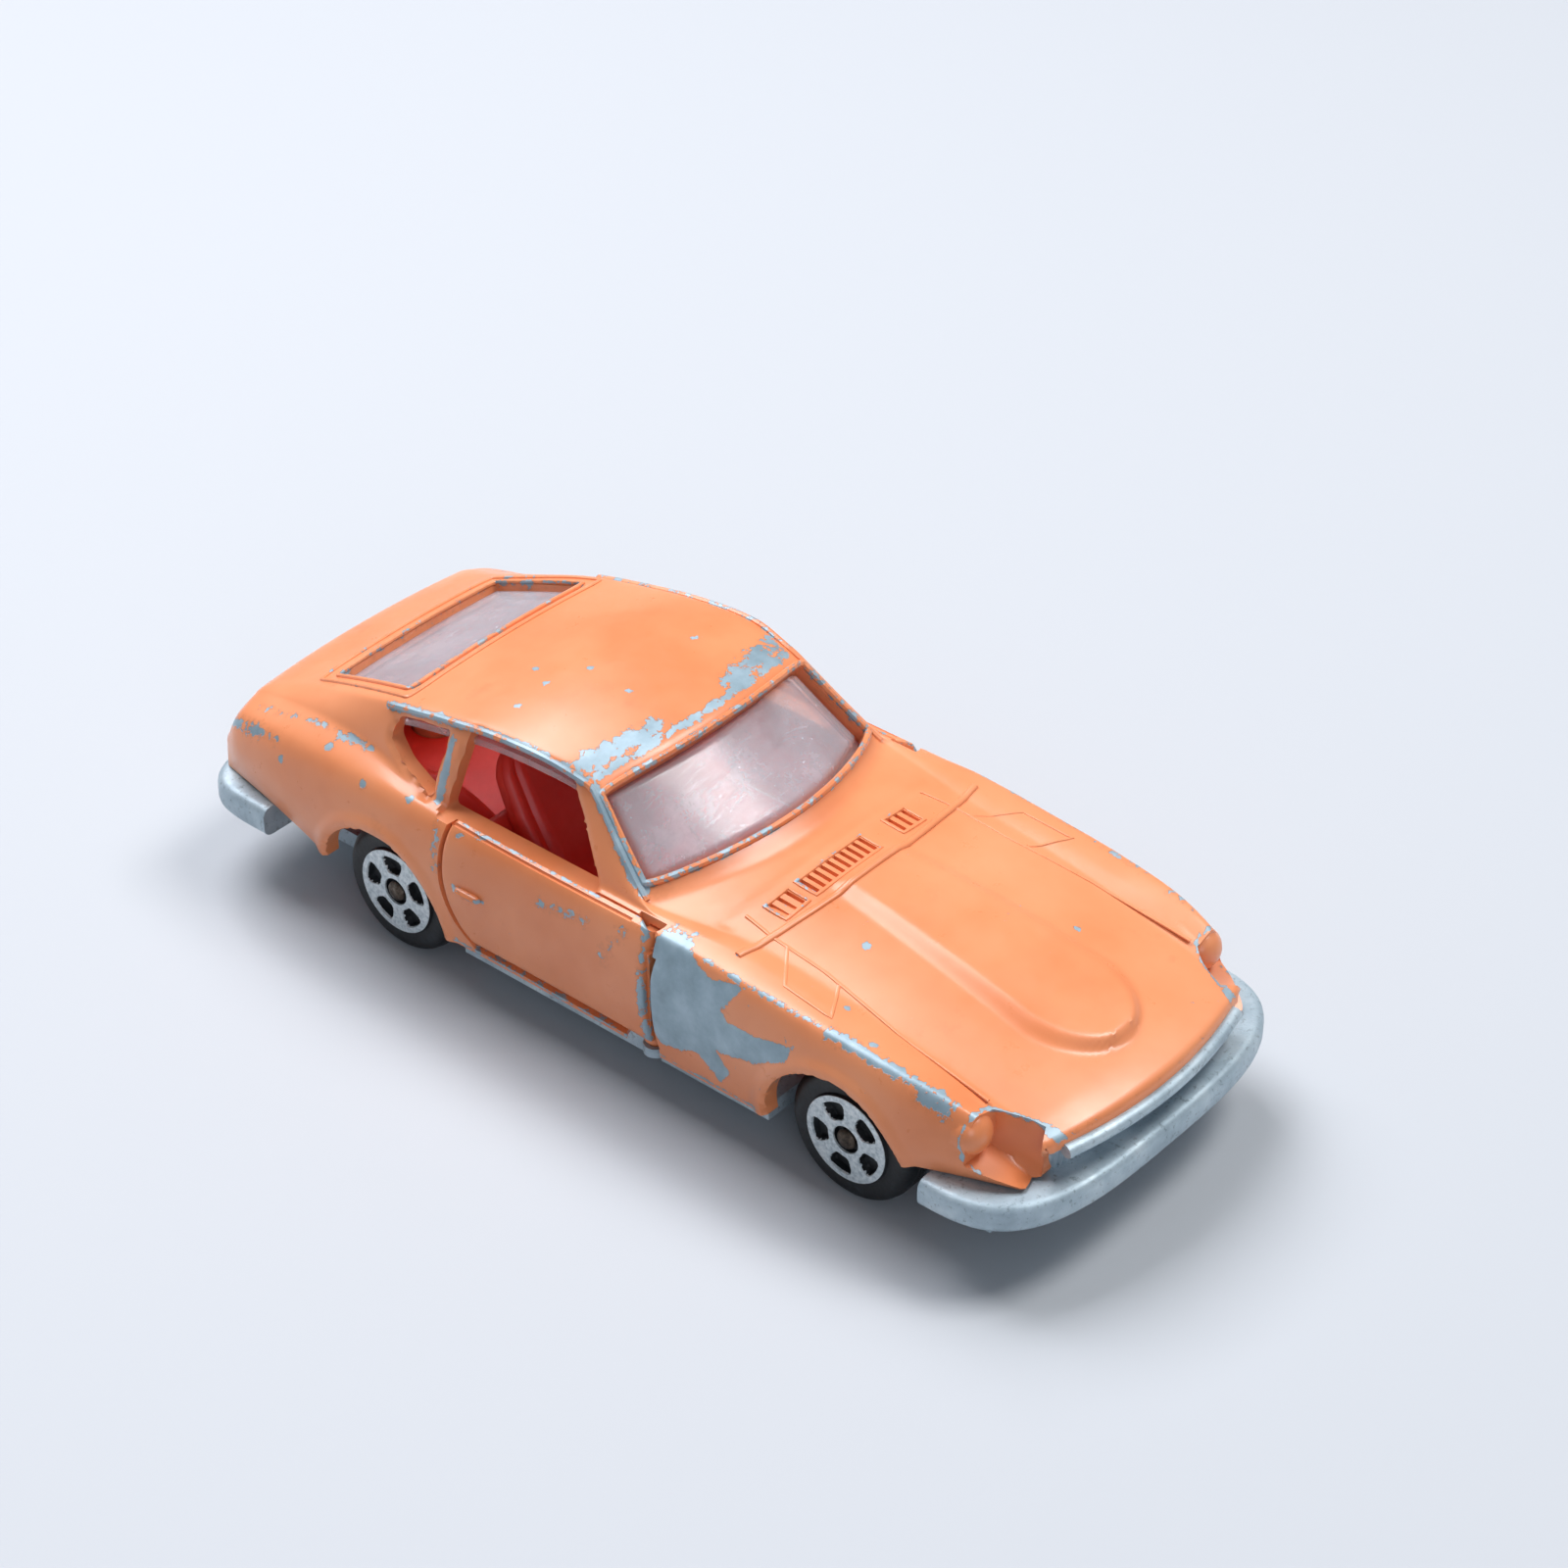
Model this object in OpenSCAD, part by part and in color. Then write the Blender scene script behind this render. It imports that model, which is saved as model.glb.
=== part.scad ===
/* [Car] */
// Distance between the two axles
wheelbase = 38.4; // [37.8:0.2:39.0]
// How far the front axle lies ahead of the middle of the car
front_axle_lead = 20.4; // [20.2:0.1:20.6]
// Wall of the cast body
wall = 1.1; // [1.0:0.05:1.2]
// Half length over the bumpers
half_length = 35.9; // [35.7:0.1:36.1]

/* [Wheels and axles] */
// Diameter over the tread
tyre_d = 9.4; // [9.0:0.1:9.6]
// Width of a wheel
wheel_w = 3.0; // [2.8:0.1:3.2]
// Centre of the car to the outer face of a wheel
half_track_out = 12.4; // [12.2:0.1:12.5]
// Diameter of the stamped silver disc
disc_d = 6.1; // [5.6:0.1:6.4]
// Diameter of an axle
axle_d = 1.1; // [1.0:0.05:1.2]
// Radial play of a wheel on its axle
wheel_play = 0.06; // [0.04:0.01:0.08]
// Travel of a sprung axle
axle_travel = 0.8; // [0.6:0.1:0.9]

/* [Doors] */
// Centre of the car to a door's pivot
pivot_x = 12.2; // [12.15:0.05:12.25]
// Front axle to a door's pivot
pivot_s = 15.6; // [15.5:0.05:15.7]
// Diameter of a pivot pin
pin_d = 0.9; // [0.8:0.05:1.0]
// Radial play of a pivot pin
pin_play = 0.06; // [0.04:0.01:0.08]
// Shut gap round a door
door_gap = 0.22; // [0.18:0.01:0.26]

/* [Base] */
// Underside of the base above the ground
base_low = 2.8; // [2.6:0.1:3.0]
// Thickness of the base plate
base_t = 1.2; // [1.0:0.1:1.4]
// Half width of the base between the wheels' cutouts
base_half_w = 12.3; // [12.2:0.1:12.4]

/* [Posts] */
// Front axle to the front post, which stands ahead of it
front_post_s = -7.6; // [-8.0:0.1:-7.4]
// Front axle to the rear post
rear_post_s = 46.6; // [46.2:0.1:47.0]
// Diameter of a post
post_d = 3.2; // [3.0:0.1:3.4]
// Diameter of a post's peened head
head_d = 2.8; // [2.6:0.1:3.0]

/* [Hidden] */
$fn = 48;
wheel_r = tyre_d / 2;
axle_r = axle_d / 2;
pin_r = pin_d / 2;
base_top = base_low + base_t;
paint = "darkorange";
zinc = "silver";

// The lines of the body, as on a lines plan. Each point starts with its distance behind the front axle.
// Height on the centre line
crown = [[-14.9, 9.95], [-12.5, 10.85], [-8, 11.95], [-3, 12.9], [3, 13.75], [9.9, 14.4], [13, 14.6],
    [13.6, 14.95], [17.5, 17.35], [21.3, 19.75], [22.1, 20.05], [26, 20.6], [31, 20.4], [36, 19.35],
    [41, 17.9], [46, 16.1], [50, 14.5], [53.2, 13.3], [54, 12.7], [55.1, 10.2]];
// Edge of the bonnet, the windscreen, the roof and the hatch: half width and height
rail = [[-14.9, 9.2, 9.7], [-12.5, 9.4, 10.4], [-3, 9.8, 12.15], [3, 9.9, 13], [9.9, 10.2, 13.7],
    [13, 11.3, 13.8], [13.6, 11.3, 13.95], [17.5, 10.5, 16.4], [21.3, 9.7, 18.9], [22.1, 9.7, 19.2],
    [26, 10, 19.85], [31, 10, 19.6], [36, 9.9, 18.7], [41, 9.7, 17.5], [46, 9.2, 15.8], [50, 8.9, 14.3],
    [53.2, 8.8, 13.1], [54, 8.8, 12.5], [55.1, 8.7, 10.1]];
// Foot of the cabin's side: half width and height
foot = [[-14.9, 9.9, 9.6], [-8, 10.9, 11.7], [-3, 11.2, 12.5], [3, 11.4, 13.2], [9.9, 11.7, 13.75],
    [13, 12.0, 13.75], [17.5, 11.9, 13.7], [26, 11.9, 13.7], [36, 11.8, 13.8], [41, 11.2, 14.5],
    [46, 10.8, 14.4], [50, 10.3, 13.7], [53.2, 10, 12.9], [54, 10, 12.3], [55.1, 9.9, 10]];
// Top edge of the wings and the doors: half width and height
shoulder = [[-14.9, 10.7, 9.2], [-12.5, 11.5, 10.8], [-8, 12.4, 12.1], [-2, 12.85, 12.75], [3, 13, 13.1],
    [9.9, 13.1, 13.55], [13, 13, 13.5], [26, 13, 13.4], [36, 12.8, 13.5], [41, 12.7, 13.6], [46, 12.4, 13.4],
    [50, 12, 12.9], [53.2, 11.6, 12.3], [54, 11.5, 11.8], [55.1, 11.1, 9.9]];
// Widest line of the side
side = [[-14.9, 11.3, 8.0], [-12.5, 12.6, 8.4], [-8, 13.6, 8.7], [-3, 13.95, 9], [3, 14, 9.4],
    [9.9, 13.9, 9.5], [26, 13.85, 9.5], [36, 14, 9.6], [41, 14, 9.6], [46, 13.7, 9.7], [50, 13.3, 9.9],
    [53.2, 12.7, 9.9], [54, 12.4, 9.7], [55.1, 11.8, 9.2]];
// Bottom edge
sill = [[-14.9, 11, 7], [-8, 13.4, 6.9], [-5, 13.5, 6.0], [3, 13.4, 4.4], [26, 13.3, 4.3], [36, 13.4, 4.4],
    [41, 13.4, 4.6], [46, 13.2, 6.3], [50, 12.9, 7.2], [55.1, 11.9, 7.2]];
// How far the section sweeps back at 10 mm from the centre line: its top, and its side below the shoulder
sweep = [[-14.9, 1.6, 1.6], [-12.5, 1.3, 1.3], [-8, 0.8, 0.8], [-3, 0.3, 0.3], [3, 0, 0], [9.9, 0.2, 0],
    [13, 2.6, 0], [13.6, 2.6, 0], [17.5, 2.1, 0], [21.3, 1.4, 0], [22.1, 1.3, 0], [26, 0.5, 0], [31, 0, 0],
    [41, 0, 0], [55.1, -0.4, -0.4]];
s_nose = -14.9;
s_tail = 54.4;

// Index of the stretch of the line that holds s
function stretch(line, s, i = 0) =
    i >= len(line) - 2 || s < line[i + 1][0] ? i : stretch(line, s, i + 1);
// Slope of the line at its point i
function slope(line, i) =
    let (a = max(i - 1, 0), b = min(i + 1, len(line) - 1)) (line[b] - line[a]) / (line[b][0] - line[a][0]);
// Point of the smooth curve through the line's points at s
function on(line, s) =
    let (i = stretch(line, s), h = line[i + 1][0] - line[i][0], u = (s - line[i][0]) / h)
    (2 * u ^ 3 - 3 * u ^ 2 + 1) * line[i] + (u ^ 3 - 2 * u ^ 2 + u) * h * slope(line, i)
    + (3 * u ^ 2 - 2 * u ^ 3) * line[i + 1] + (u ^ 3 - u ^ 2) * h * slope(line, i + 1);
function arc(a, b, c, t) = (1 - t) ^ 2 * a + 2 * t * (1 - t) * b + t ^ 2 * c;
// Points [x, z, share of the top's sweep] of half a section at s. Its places t run from the centre line (0)
// over the rail (1), the foot (2), the shoulder (3) and the widest line (4) to the bottom edge (5).
function half_section(s, ts) =
    let (c = on(crown, s)[1], r = on(rail, s), f = on(foot, s), h = on(shoulder, s), w = on(side, s),
        b = on(sill, s),
        p = [[0, c], [r[1], r[2]], [f[1], f[2]], [h[1], h[2]], [w[1], w[2]], [b[1], b[2]]],
        q = [[0.55 * r[1], c], (p[1] + p[2]) / 2 + [0.25, 0.1], (p[2] + p[3]) / 2 + [0, 0.05],
            [0.75 * w[1] + 0.25 * h[1] + 0.1, 0.75 * h[2] + 0.25 * w[2]],
            [w[1] + 0.05, (w[2] + b[2]) / 2]])
    [for (t = ts) let (k = min(floor(t), 4), p = arc(p[k], q[k], p[k + 1], t - k))
        [p[0], p[1], min(1, max(0, (3 - t) / 2))]];
// The same half section, drawn in by a distance
function drawn_in(pts, inset) =
    [for (i = [0:len(pts) - 1])
        let (a = pts[max(i - 1, 0)], b = pts[min(i + 1, len(pts) - 1)], d = [b[0] - a[0], b[1] - a[1]])
        i == 0 ? pts[0] - [0, inset, 0] : pts[i] - inset / norm(d) * [-d[1], d[0], 0]];
// Place of a section point in the car
function place(s, p) =
    let (w = on(sweep, s), back = w[1] * p[2] + w[2] * (1 - p[2]))
    [p[0], s - front_axle_lead + back * (p[0] / 10) ^ 2, p[1]];
// Points at s from the left over the roof to the right, drawn in by a distance
function across(s, ts, inset) =
    let (h = drawn_in(half_section(s, ts), inset), n = len(h))
    concat([for (i = [n - 1:-1:1]) place(s, [-h[i][0], h[i][1], h[i][2]])], [for (p = h) place(s, p)]);
function turned(list) = [for (i = [len(list) - 1:-1:0]) list[i]];
function spread(a, b, n) = [for (i = [0:n]) a + (b - a) * i / n];

// Closed solid through rings that all hold the same number of points
module loft(rings) {
    n = len(rings[0]);
    m = len(rings);
    strips = [for (j = [0:m - 2], i = [0:n - 1], k = [0, 1])
        let (a = j * n + i, b = j * n + (i + 1) % n, c = a + n, d = b + n) k == 0 ? [a, d, b] : [a, c, d]];
    ladder = [for (i = [0:ceil(n / 2) - 2], k = [0, 1])
        if (k == 0 || i + 1 < n - 2 - i) k == 0 ? [i, i + 1, n - 1 - i] : [i + 1, n - 2 - i, n - 1 - i]];
    last = (m - 1) * n;
    polyhedron(
        points = [for (r = rings) each r],
        faces = concat(strips, ladder, [for (f = ladder) [f[0] + last, f[2] + last, f[1] + last]]));
}
// Band that follows the body between two depths below its surface
module band(ss, ts, depth_a, depth_b) {
    loft([for (s = ss) concat(across(s, ts, depth_a), turned(across(s, ts, depth_b)))]);
}
// What the body's side takes between two edges, each a list of [height, s], from depth_a to depth_b
module side_piece(front, rear, ts, columns, depth_a, depth_b) {
    middle = half_section(24, ts);
    function at(i, j) =
        let (z = middle[i][1], a = on(front, z)[1], b = on(rear, z)[1]) a + (b - a) * j / columns;
    function point(i, j, depth) = place(at(i, j), drawn_in(half_section(at(i, j), ts), depth)[i]);
    loft([for (j = [0:columns]) concat(
        [for (i = [0:len(ts) - 1]) point(i, j, depth_a)],
        [for (i = [len(ts) - 1:-1:0]) point(i, j, depth_b)])]);
}
module both_sides() {
    children();
    mirror([1, 0, 0]) children();
}
// Move to a distance behind the front axle
module behind(s) {
    translate([0, s - front_axle_lead, 0]) children();
}
// Prism across the side with rounded corners at [s, z] points
module side_prism(corners, r, x_in, x_out) {
    hull() for (c = corners) cross_rod(c[0], c[1], r, x_in, x_out, $fn = 16);
}
// Rod along the car's width
module cross_rod(s, z, r, x_a, x_b) {
    behind(s) translate([x_a, 0, z]) rotate([0, 90, 0]) cylinder(r = r, h = x_b - x_a);
}
// Upright rod
module post(x, s, r, z_a, z_b) {
    behind(s) translate([x, 0, z_a]) cylinder(r = r, h = z_b - z_a);
}
module block(x_a, x_b, s_a, s_b, z_a, z_b) {
    behind(s_a) translate([x_a, 0, z_a]) cube([x_b - x_a, s_b - s_a, z_b - z_a]);
}

fine = [0, 0.25, 0.5, 0.75, 0.9, 1, 1.35, 1.7, 2, 2.5, 3, 3.2, 3.45, 3.75, 4, 4.35, 4.7, 5];
coarse = [0, 0.4, 0.75, 1, 1.5, 2, 3, 3.5, 4, 4.5, 5];
outer_s = concat(spread(-14.9, 12, 13), [13, 13.6], spread(14.9, 20.3, 3), [21.3, 22.1],
    spread(23.6, 52, 16), [53.2, 53.6, 54, 55.1]);
inner_s = concat(spread(-13.7, 12.2, 8), [13.6, 14.6], spread(16, 21, 3), [22.2, 23.2],
    spread(26, 50, 10), [52, 53]);
// Edges of a door as [height, s]
door_front = [[3.5, 14.8], [5, 14.95], [8, 15.15], [13, 15.25], [14.5, 15.3]];
door_rear = [[3.5, 29], [5, 30.2], [6.4, 31.4], [8.7, 32.3], [11.4, 32.5], [14.5, 32.1]];
// The clearance at the front edge lets the door swing, so it is wider than the shut gap
hinge_clearance = 0.75;
lug_x = 12.25;
door_ts = [2.45, 2.7, 3, 3.2, 3.45, 3.75, 4, 4.3, 4.6, 4.86];
function moved(edge, d) = [for (p = edge) [p[0], p[1] + d]];

lamp = [11.55, -9.5, 9.85];
lamp_r = 1.45;
door_window = [[20.5, 13.2], [24.2, 19.0], [25.6, 19.35], [32.6, 19.0], [33.6, 13.4]];
quarter_window = [[35.1, 13.9], [34.6, 18.0], [38.9, 17.1], [39.3, 15.6], [37.8, 14.7]];
arch_r = 5.45;
stem_r = 1;

module wheel_arches() {
    both_sides() for (s = [0, wheelbase]) cross_rod(s, wheel_r, arch_r, 9, 16);
}
// Recess in the corner of the nose, with the lamp at its back
module scoop() {
    behind(0) hull() {
        translate(lamp) rotate([90, 0, 0]) cylinder(r = 1.75, h = 0.2, center = true, $fn = 24);
        translate([11.7, -13.4, 10.6]) rotate([90, 0, -28]) scale([1.25, 1.35, 1])
            cylinder(r = 2.5, h = 1, center = true, $fn = 24);
    }
}
module cavity() {
    difference() {
        loft([for (s = inner_s) concat([[-12.2, s - front_axle_lead, 1]], across(s, coarse, wall),
            [[12.2, s - front_axle_lead, 1]])]);
        both_sides() block(8.9, 16, -16, -7.4, 0, 16);
        post(0, front_post_s, post_d / 2, base_top, 16);
        post(0, rear_post_s, post_d / 2, base_top, 16);
        // Lugs that hold the doors' upper pins
        both_sides() hull() {
            block(10.7, lug_x, 15.15, 16.2, 12.3, 16);
            block(11, lug_x, 15.25, 16.1, 12.1, 16);
        }
    }
}
// Room behind the wing for the door's front edge as it swings in
module swing_room() {
    post(pivot_x, pivot_s, 1.98, 4.9, 12.15);
    difference() {
        union() {
            post(pivot_x, pivot_s, 1.42, 12.1, 12.75);
            post(pivot_x, pivot_s, 1.15, 12.7, 13.8);
        }
        block(10, lug_x, 12, 18, 12, 14);
    }
}
module body_shell() {
    color(paint) {
        difference() {
            loft([for (s = outer_s) across(s, fine, 0)]);
            cavity();
            band([14.6, 15.6, 17, 19, 20.9], [0, 0.5, 0.95], -2, wall + 1);
            band([40.05, 42, 44, 46, 48.1], [0, 0.4, 0.82], -2, wall + 1);
            both_sides() {
                side_prism(door_window, 0.3, 8.6, 16);
                side_prism(quarter_window, 0.3, 8.6, 16);
                scoop();
                side_piece(moved(door_front, -hinge_clearance), moved(door_rear, door_gap),
                    [2.27, 2.61, 2.87, 3.11, 3.32, 3.6, 3.88, 4.17, 4.52, 4.92], 11, -1.03, wall + 1.7);
                post(pivot_x, pivot_s, pin_r + pin_play, 11, 13.1);
                post(pivot_x, pivot_s, 1.05, 3, 12.15);
                swing_room();
            }
            wheel_arches();
            // Mouth for the grille
            hull() {
                block(-8.7, 8.7, -17, -11.5, 4, 8.6);
                block(-8.2, 8.2, -17, -11.5, 4, 9.2);
            }
        }
        both_sides() behind(0) translate(lamp + [0, 0.5, 0]) sphere(r = lamp_r, $fn = 24);
        // Each post ends in a thin stem that is peened over under the base
        for (s = [front_post_s, rear_post_s]) {
            post(0, s, post_d / 2, base_top, 9);
            post(0, s, stem_r, base_low + 0.5, base_top + 0.1);
            post(0, s, head_d / 2, base_low + 0.1, base_low + 0.6);
        }
    }
}
module door() {
    color(paint) {
        side_piece(door_front, door_rear, door_ts, 12, 0, wall);
        post(pivot_x, pivot_s, 0.75, base_top + 0.35, 12);
        post(pivot_x, pivot_s, pin_r, base_low + 0.2, 12.9);
        behind(pivot_s) translate([pivot_x, -0.6, 5]) cube([1.1, 1.2, 6.8]);
        block(13.4, 14.15, 28.8, 31.3, 9.25, 9.65);
    }
}
module door_right() {
    mirror([1, 0, 0]) door();
}
module door_left() {
    door();
}

// Quarter of a bumper's outline in plan, on a superellipse
function bumper_rim(half_w, depth, power, n) = [for (i = [0:n])
    let (a = 90 * i / n) [half_w * cos(a) ^ (2 / power), depth * sin(a) ^ (2 / power)]];
function both_ways(rim) = concat(rim, [for (p = turned(rim)) [-p[0], p[1]]]);

// Flat outline of a bumper, a width wide, round the nose or the tail
module bumper_outline(half_w, depth, power, width, inset) {
    difference() {
        polygon(both_ways(bumper_rim(half_w - inset, depth - inset, power, 14)));
        translate([0, -0.01]) polygon(both_ways(bumper_rim(half_w - width, depth - width, power, 14)));
    }
}
module bumper(half_w, depth, power, width, z_low, z_high, bevel) {
    translate([0, 0, z_low]) linear_extrude(bevel) bumper_outline(half_w, depth, power, width, bevel / 2);
    translate([0, 0, z_low + bevel]) linear_extrude(z_high - z_low - 2 * bevel)
        bumper_outline(half_w, depth, power, width, 0);
    translate([0, 0, z_high - bevel]) linear_extrude(bevel)
        bumper_outline(half_w, depth, power, width, bevel / 2);
}
front_bumper_s = -7.2;
rear_bumper_s = 49;
front_depth = half_length - front_axle_lead + front_bumper_s;
rear_depth = half_length + front_axle_lead - rear_bumper_s;
floor_s = [-10.6, 50.5];
floor_x = 8.4;
end_x = 11.6;
fork_x = [7.4, 8.4];
fork_reach = 1.7;
wheel_room = 5.9;
slot_r = axle_r + 0.05;

module base_plate() {
    color(zinc) {
        difference() {
            union() {
                // Floor, with its rails up to the doors' sills
                block(-base_half_w, base_half_w, 6.2, 32.2, base_low, base_top);
                block(-floor_x, floor_x, floor_s[0], floor_s[1], base_low, base_top);
                block(-end_x, end_x, floor_s[0], -6.2, base_low, base_top);
                block(-end_x, end_x, 44.6, floor_s[1] + 0.5, base_low, base_top);
                // Nose and tail walls that carry the grille and the bumpers
                block(-9.6, 9.6, -13.2, -12, 4.8, 8.2);
                block(-9.6, 9.6, -12.6, -10.2, base_low + 0.6, 6);
                block(-10.5, 10.5, 50.2, 51.6, base_low + 0.4, 7);
                // Ears for the doors' lower pins
                both_sides() block(11, 13.1, pivot_s - 1, pivot_s + 1, base_low, base_top);
                behind(front_bumper_s) mirror([0, 1, 0]) bumper(14.4, front_depth, 3.2, 3.4, 4.8, 6.8, 0.5);
                behind(rear_bumper_s) bumper(14, rear_depth, 4.5, 3.2, 4.9, 7.1, 0.5);
                // Bar over the grille
                block(-8.4, 8.4, -14.7, -13.0, 8.2, 9.0);
                // Forks that hold the axles
                both_sides() for (s = [0, wheelbase])
                    block(fork_x[0], fork_x[1], s - fork_reach, s + fork_reach, base_top, wheel_r + 2.2);
                // Gearbox and exhaust
                block(-2, 2, 3, 14, base_low - 0.9, base_low);
                block(-6.4, -5, 12, 46, base_low - 0.7, base_low);
            }
            // Cutouts for the wheels
            both_sides() for (s = [0, wheelbase]) block(8.9, 16, s - wheel_room, s + wheel_room, 1, 4.4);
            // Slots of the forks
            both_sides() for (s = [0, wheelbase]) {
                block(fork_x[0] - 1, fork_x[1] + 1, s - slot_r, s + slot_r, wheel_r, 9);
                cross_rod(s, wheel_r, slot_r, fork_x[0] - 1, fork_x[1] + 1);
            }
            // Holes for the posts' stems and heads, and for the doors' pins
            for (s = [front_post_s, rear_post_s]) {
                post(0, s, stem_r + 0.05, 1, base_top + 1);
                post(0, s, head_d / 2 + 0.05, 1, base_low + 0.6);
            }
            both_sides() post(pivot_x, pivot_s, pin_r + pin_play, 1, base_top + 1);
        }
    }
}
strip_x = 6.9;
strip_w = 1.8;
strip_t = 0.2;
leaf_x = 11.35;
leaf_s = 15.1;
leaf_z = [8.2, 10.2];
// Strip across the car whose bent ends press on the doors' hinge blocks
module door_spring() {
    color("lightgray") {
        block(-leaf_x, leaf_x, leaf_s, leaf_s + strip_t, leaf_z[0], leaf_z[1]);
        both_sides() block(leaf_x - 0.15, leaf_x, leaf_s, leaf_s + 1, leaf_z[0], leaf_z[1]);
    }
}
glass_t = 0.85;
module glazing() {
    color("lavender", 0.5) {
        // One moulding under the roof, with panes that stand up into the windscreen and the hatch
        band([13.7, 15.4, 17, 19, 21, 22.4, 24, 28, 32, 36, 39, 42, 45, 48.8], [0, 0.4, 0.7, 0.9],
            wall + 0.05, wall + glass_t);
        band([14.85, 15.8, 17, 19, 20.6], [0, 0.5, 0.92], 0.5, wall + 0.2);
        band([40.3, 42, 44, 46, 47.7], [0, 0.4, 0.78], 0.6, wall + 0.2);
    }
}
seat_x = 5.2;
floor_low = base_top + 0.1;
cabin_x = 11;
deck_s = [31, 48.6];
deck_z = [6.7, 7.9];
box_x = [8, 11.4];
box_s = [31.6, 46.5];
box_top = 11.3;
module seat() {
    translate([seat_x, 0, 0]) {
        behind(0) hull() {
            translate([-3.2, 20.6, 4.8]) cube([6.4, 0.5, 2]);
            translate([-3.4, 26.4, 4.8]) cube([6.8, 0.5, 2.2]);
        }
        behind(0) hull() {
            translate([-3.5, 25.8, 6]) cube([7, 1.8, 1]);
            translate([-3, 28.9, 13]) cube([6, 1.2, 0.8]);
            translate([-2, 29.4, 15]) cube([4, 1.1, 0.8]);
        }
    }
}
module interior() {
    color("red") {
        // Floor, bulkhead and the raised rear deck, with a hole for the post
        block(-cabin_x, cabin_x, 16.5, 31.6, floor_low, floor_low + 1.2);
        difference() {
            block(-8.5, 8.5, deck_s[0], deck_s[1], deck_z[0], deck_z[1]);
            post(0, rear_post_s, post_d / 2 + 0.15, 6, 9);
        }
        block(-cabin_x, cabin_x, 30.8, 32, floor_low, 10.5);
        // Boxes over the rear wheels
        both_sides() {
            block(box_x[0], box_x[1], box_s[0], box_s[1], box_top - 1, box_top);
            block(box_x[0], box_x[0] + 1, box_s[0], box_s[1], deck_z[0], box_top);
        }
        both_sides() seat();
        // Dashboard
        block(-cabin_x, cabin_x, 16.5, 17.6, floor_low, 11.2);
        behind(16.6) hull() {
            translate([-10.6, 0, 10]) cube([21.2, 2.6, 0.6]);
            translate([-10.6, 0, 11.4]) cube([21.2, 1.8, 0.4]);
        }
        // Steering column and wheel
        behind(19) translate([-seat_x, 0, 10.2]) rotate([-64, 0, 0]) {
            cylinder(r = 0.4, h = 2.4);
            translate([0, 0, 1.8]) rotate_extrude() translate([1.9, 0]) circle(r = 0.35, $fn = 16);
            translate([-1.9, -0.3, 1.6]) cube([3.8, 0.6, 0.4]);
        }
    }
}
// Axle with its upset ends
module axle(s) {
    color("gainsboro") {
        cross_rod(s, wheel_r, axle_r, -half_track_out - 0.1, half_track_out + 0.1);
        both_sides() cross_rod(s, wheel_r, axle_r + 0.3, half_track_out + 0.08, half_track_out + 0.4);
    }
}
module axle_front() { axle(0); }
module axle_rear() { axle(wheelbase); }
// Strip over an axle, with both ends bent down to bear on it
module axle_spring(s) {
    rest = wheel_r + axle_r + 0.03;
    top = wheel_r + axle_r + axle_travel + 0.25;
    color("lightgray") {
        block(-strip_x, strip_x, s - strip_w / 2, s + strip_w / 2, top - strip_t, top);
        both_sides() block(strip_x - 0.4, strip_x, s - strip_w / 2, s + strip_w / 2, rest, top);
    }
}
module axle_spring_front() { axle_spring(0); }
module axle_spring_rear() { axle_spring(wheelbase); }

// Wheel with its hub towards +X, on the right side when seen from the front
module wheel(s) {
    color("dimgray") behind(s) translate([half_track_out - wheel_w, 0, wheel_r]) rotate([0, 90, 0])
        rotate_extrude() polygon([
            [axle_r + wheel_play, 0], [3.4, 0], [3.4, 0.5], [wheel_r - 0.4, 0.3], [wheel_r, 0.7],
            [wheel_r, wheel_w - 0.7], [wheel_r - 0.45, wheel_w - 0.25], [disc_d / 2 + 0.2, wheel_w - 0.25],
            [disc_d / 2, wheel_w], [axle_r + wheel_play, wheel_w]]);
}
module wheel_front_left() { wheel(0); }
module wheel_front_right() { mirror([1, 0, 0]) wheel(0); }
module wheel_rear_left() { wheel(wheelbase); }
module wheel_rear_right() { mirror([1, 0, 0]) wheel(wheelbase); }

body_shell();
base_plate();
door_left();
door_right();
door_spring();
glazing();
interior();
axle_front();
axle_rear();
axle_spring_front();
axle_spring_rear();
wheel_front_left();
wheel_front_right();
wheel_rear_left();
wheel_rear_right();
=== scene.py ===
import math
import bmesh
import bpy
import mathutils
import numpy as np
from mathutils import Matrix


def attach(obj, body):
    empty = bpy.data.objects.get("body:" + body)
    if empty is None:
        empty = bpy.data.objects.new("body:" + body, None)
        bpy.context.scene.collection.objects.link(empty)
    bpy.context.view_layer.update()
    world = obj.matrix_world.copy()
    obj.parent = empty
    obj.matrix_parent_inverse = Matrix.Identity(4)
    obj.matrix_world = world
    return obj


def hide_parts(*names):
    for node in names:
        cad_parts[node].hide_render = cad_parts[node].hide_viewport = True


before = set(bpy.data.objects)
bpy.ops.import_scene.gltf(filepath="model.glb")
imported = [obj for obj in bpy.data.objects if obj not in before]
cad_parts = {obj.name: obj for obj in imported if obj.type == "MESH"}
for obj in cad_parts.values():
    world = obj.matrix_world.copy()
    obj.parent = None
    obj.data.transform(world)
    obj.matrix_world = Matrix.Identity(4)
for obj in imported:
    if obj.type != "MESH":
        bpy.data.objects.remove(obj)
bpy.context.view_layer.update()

# ---------------------------------------------------------------- Table top, light and camera
# A plain pale table, one large soft light overhead, a second one that gleams on the glass, a weak fill and
# a view from above the right front wing. Lengths in this file are millimetres, turned to metres as a mesh is
# made.
MM = 0.001


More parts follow.
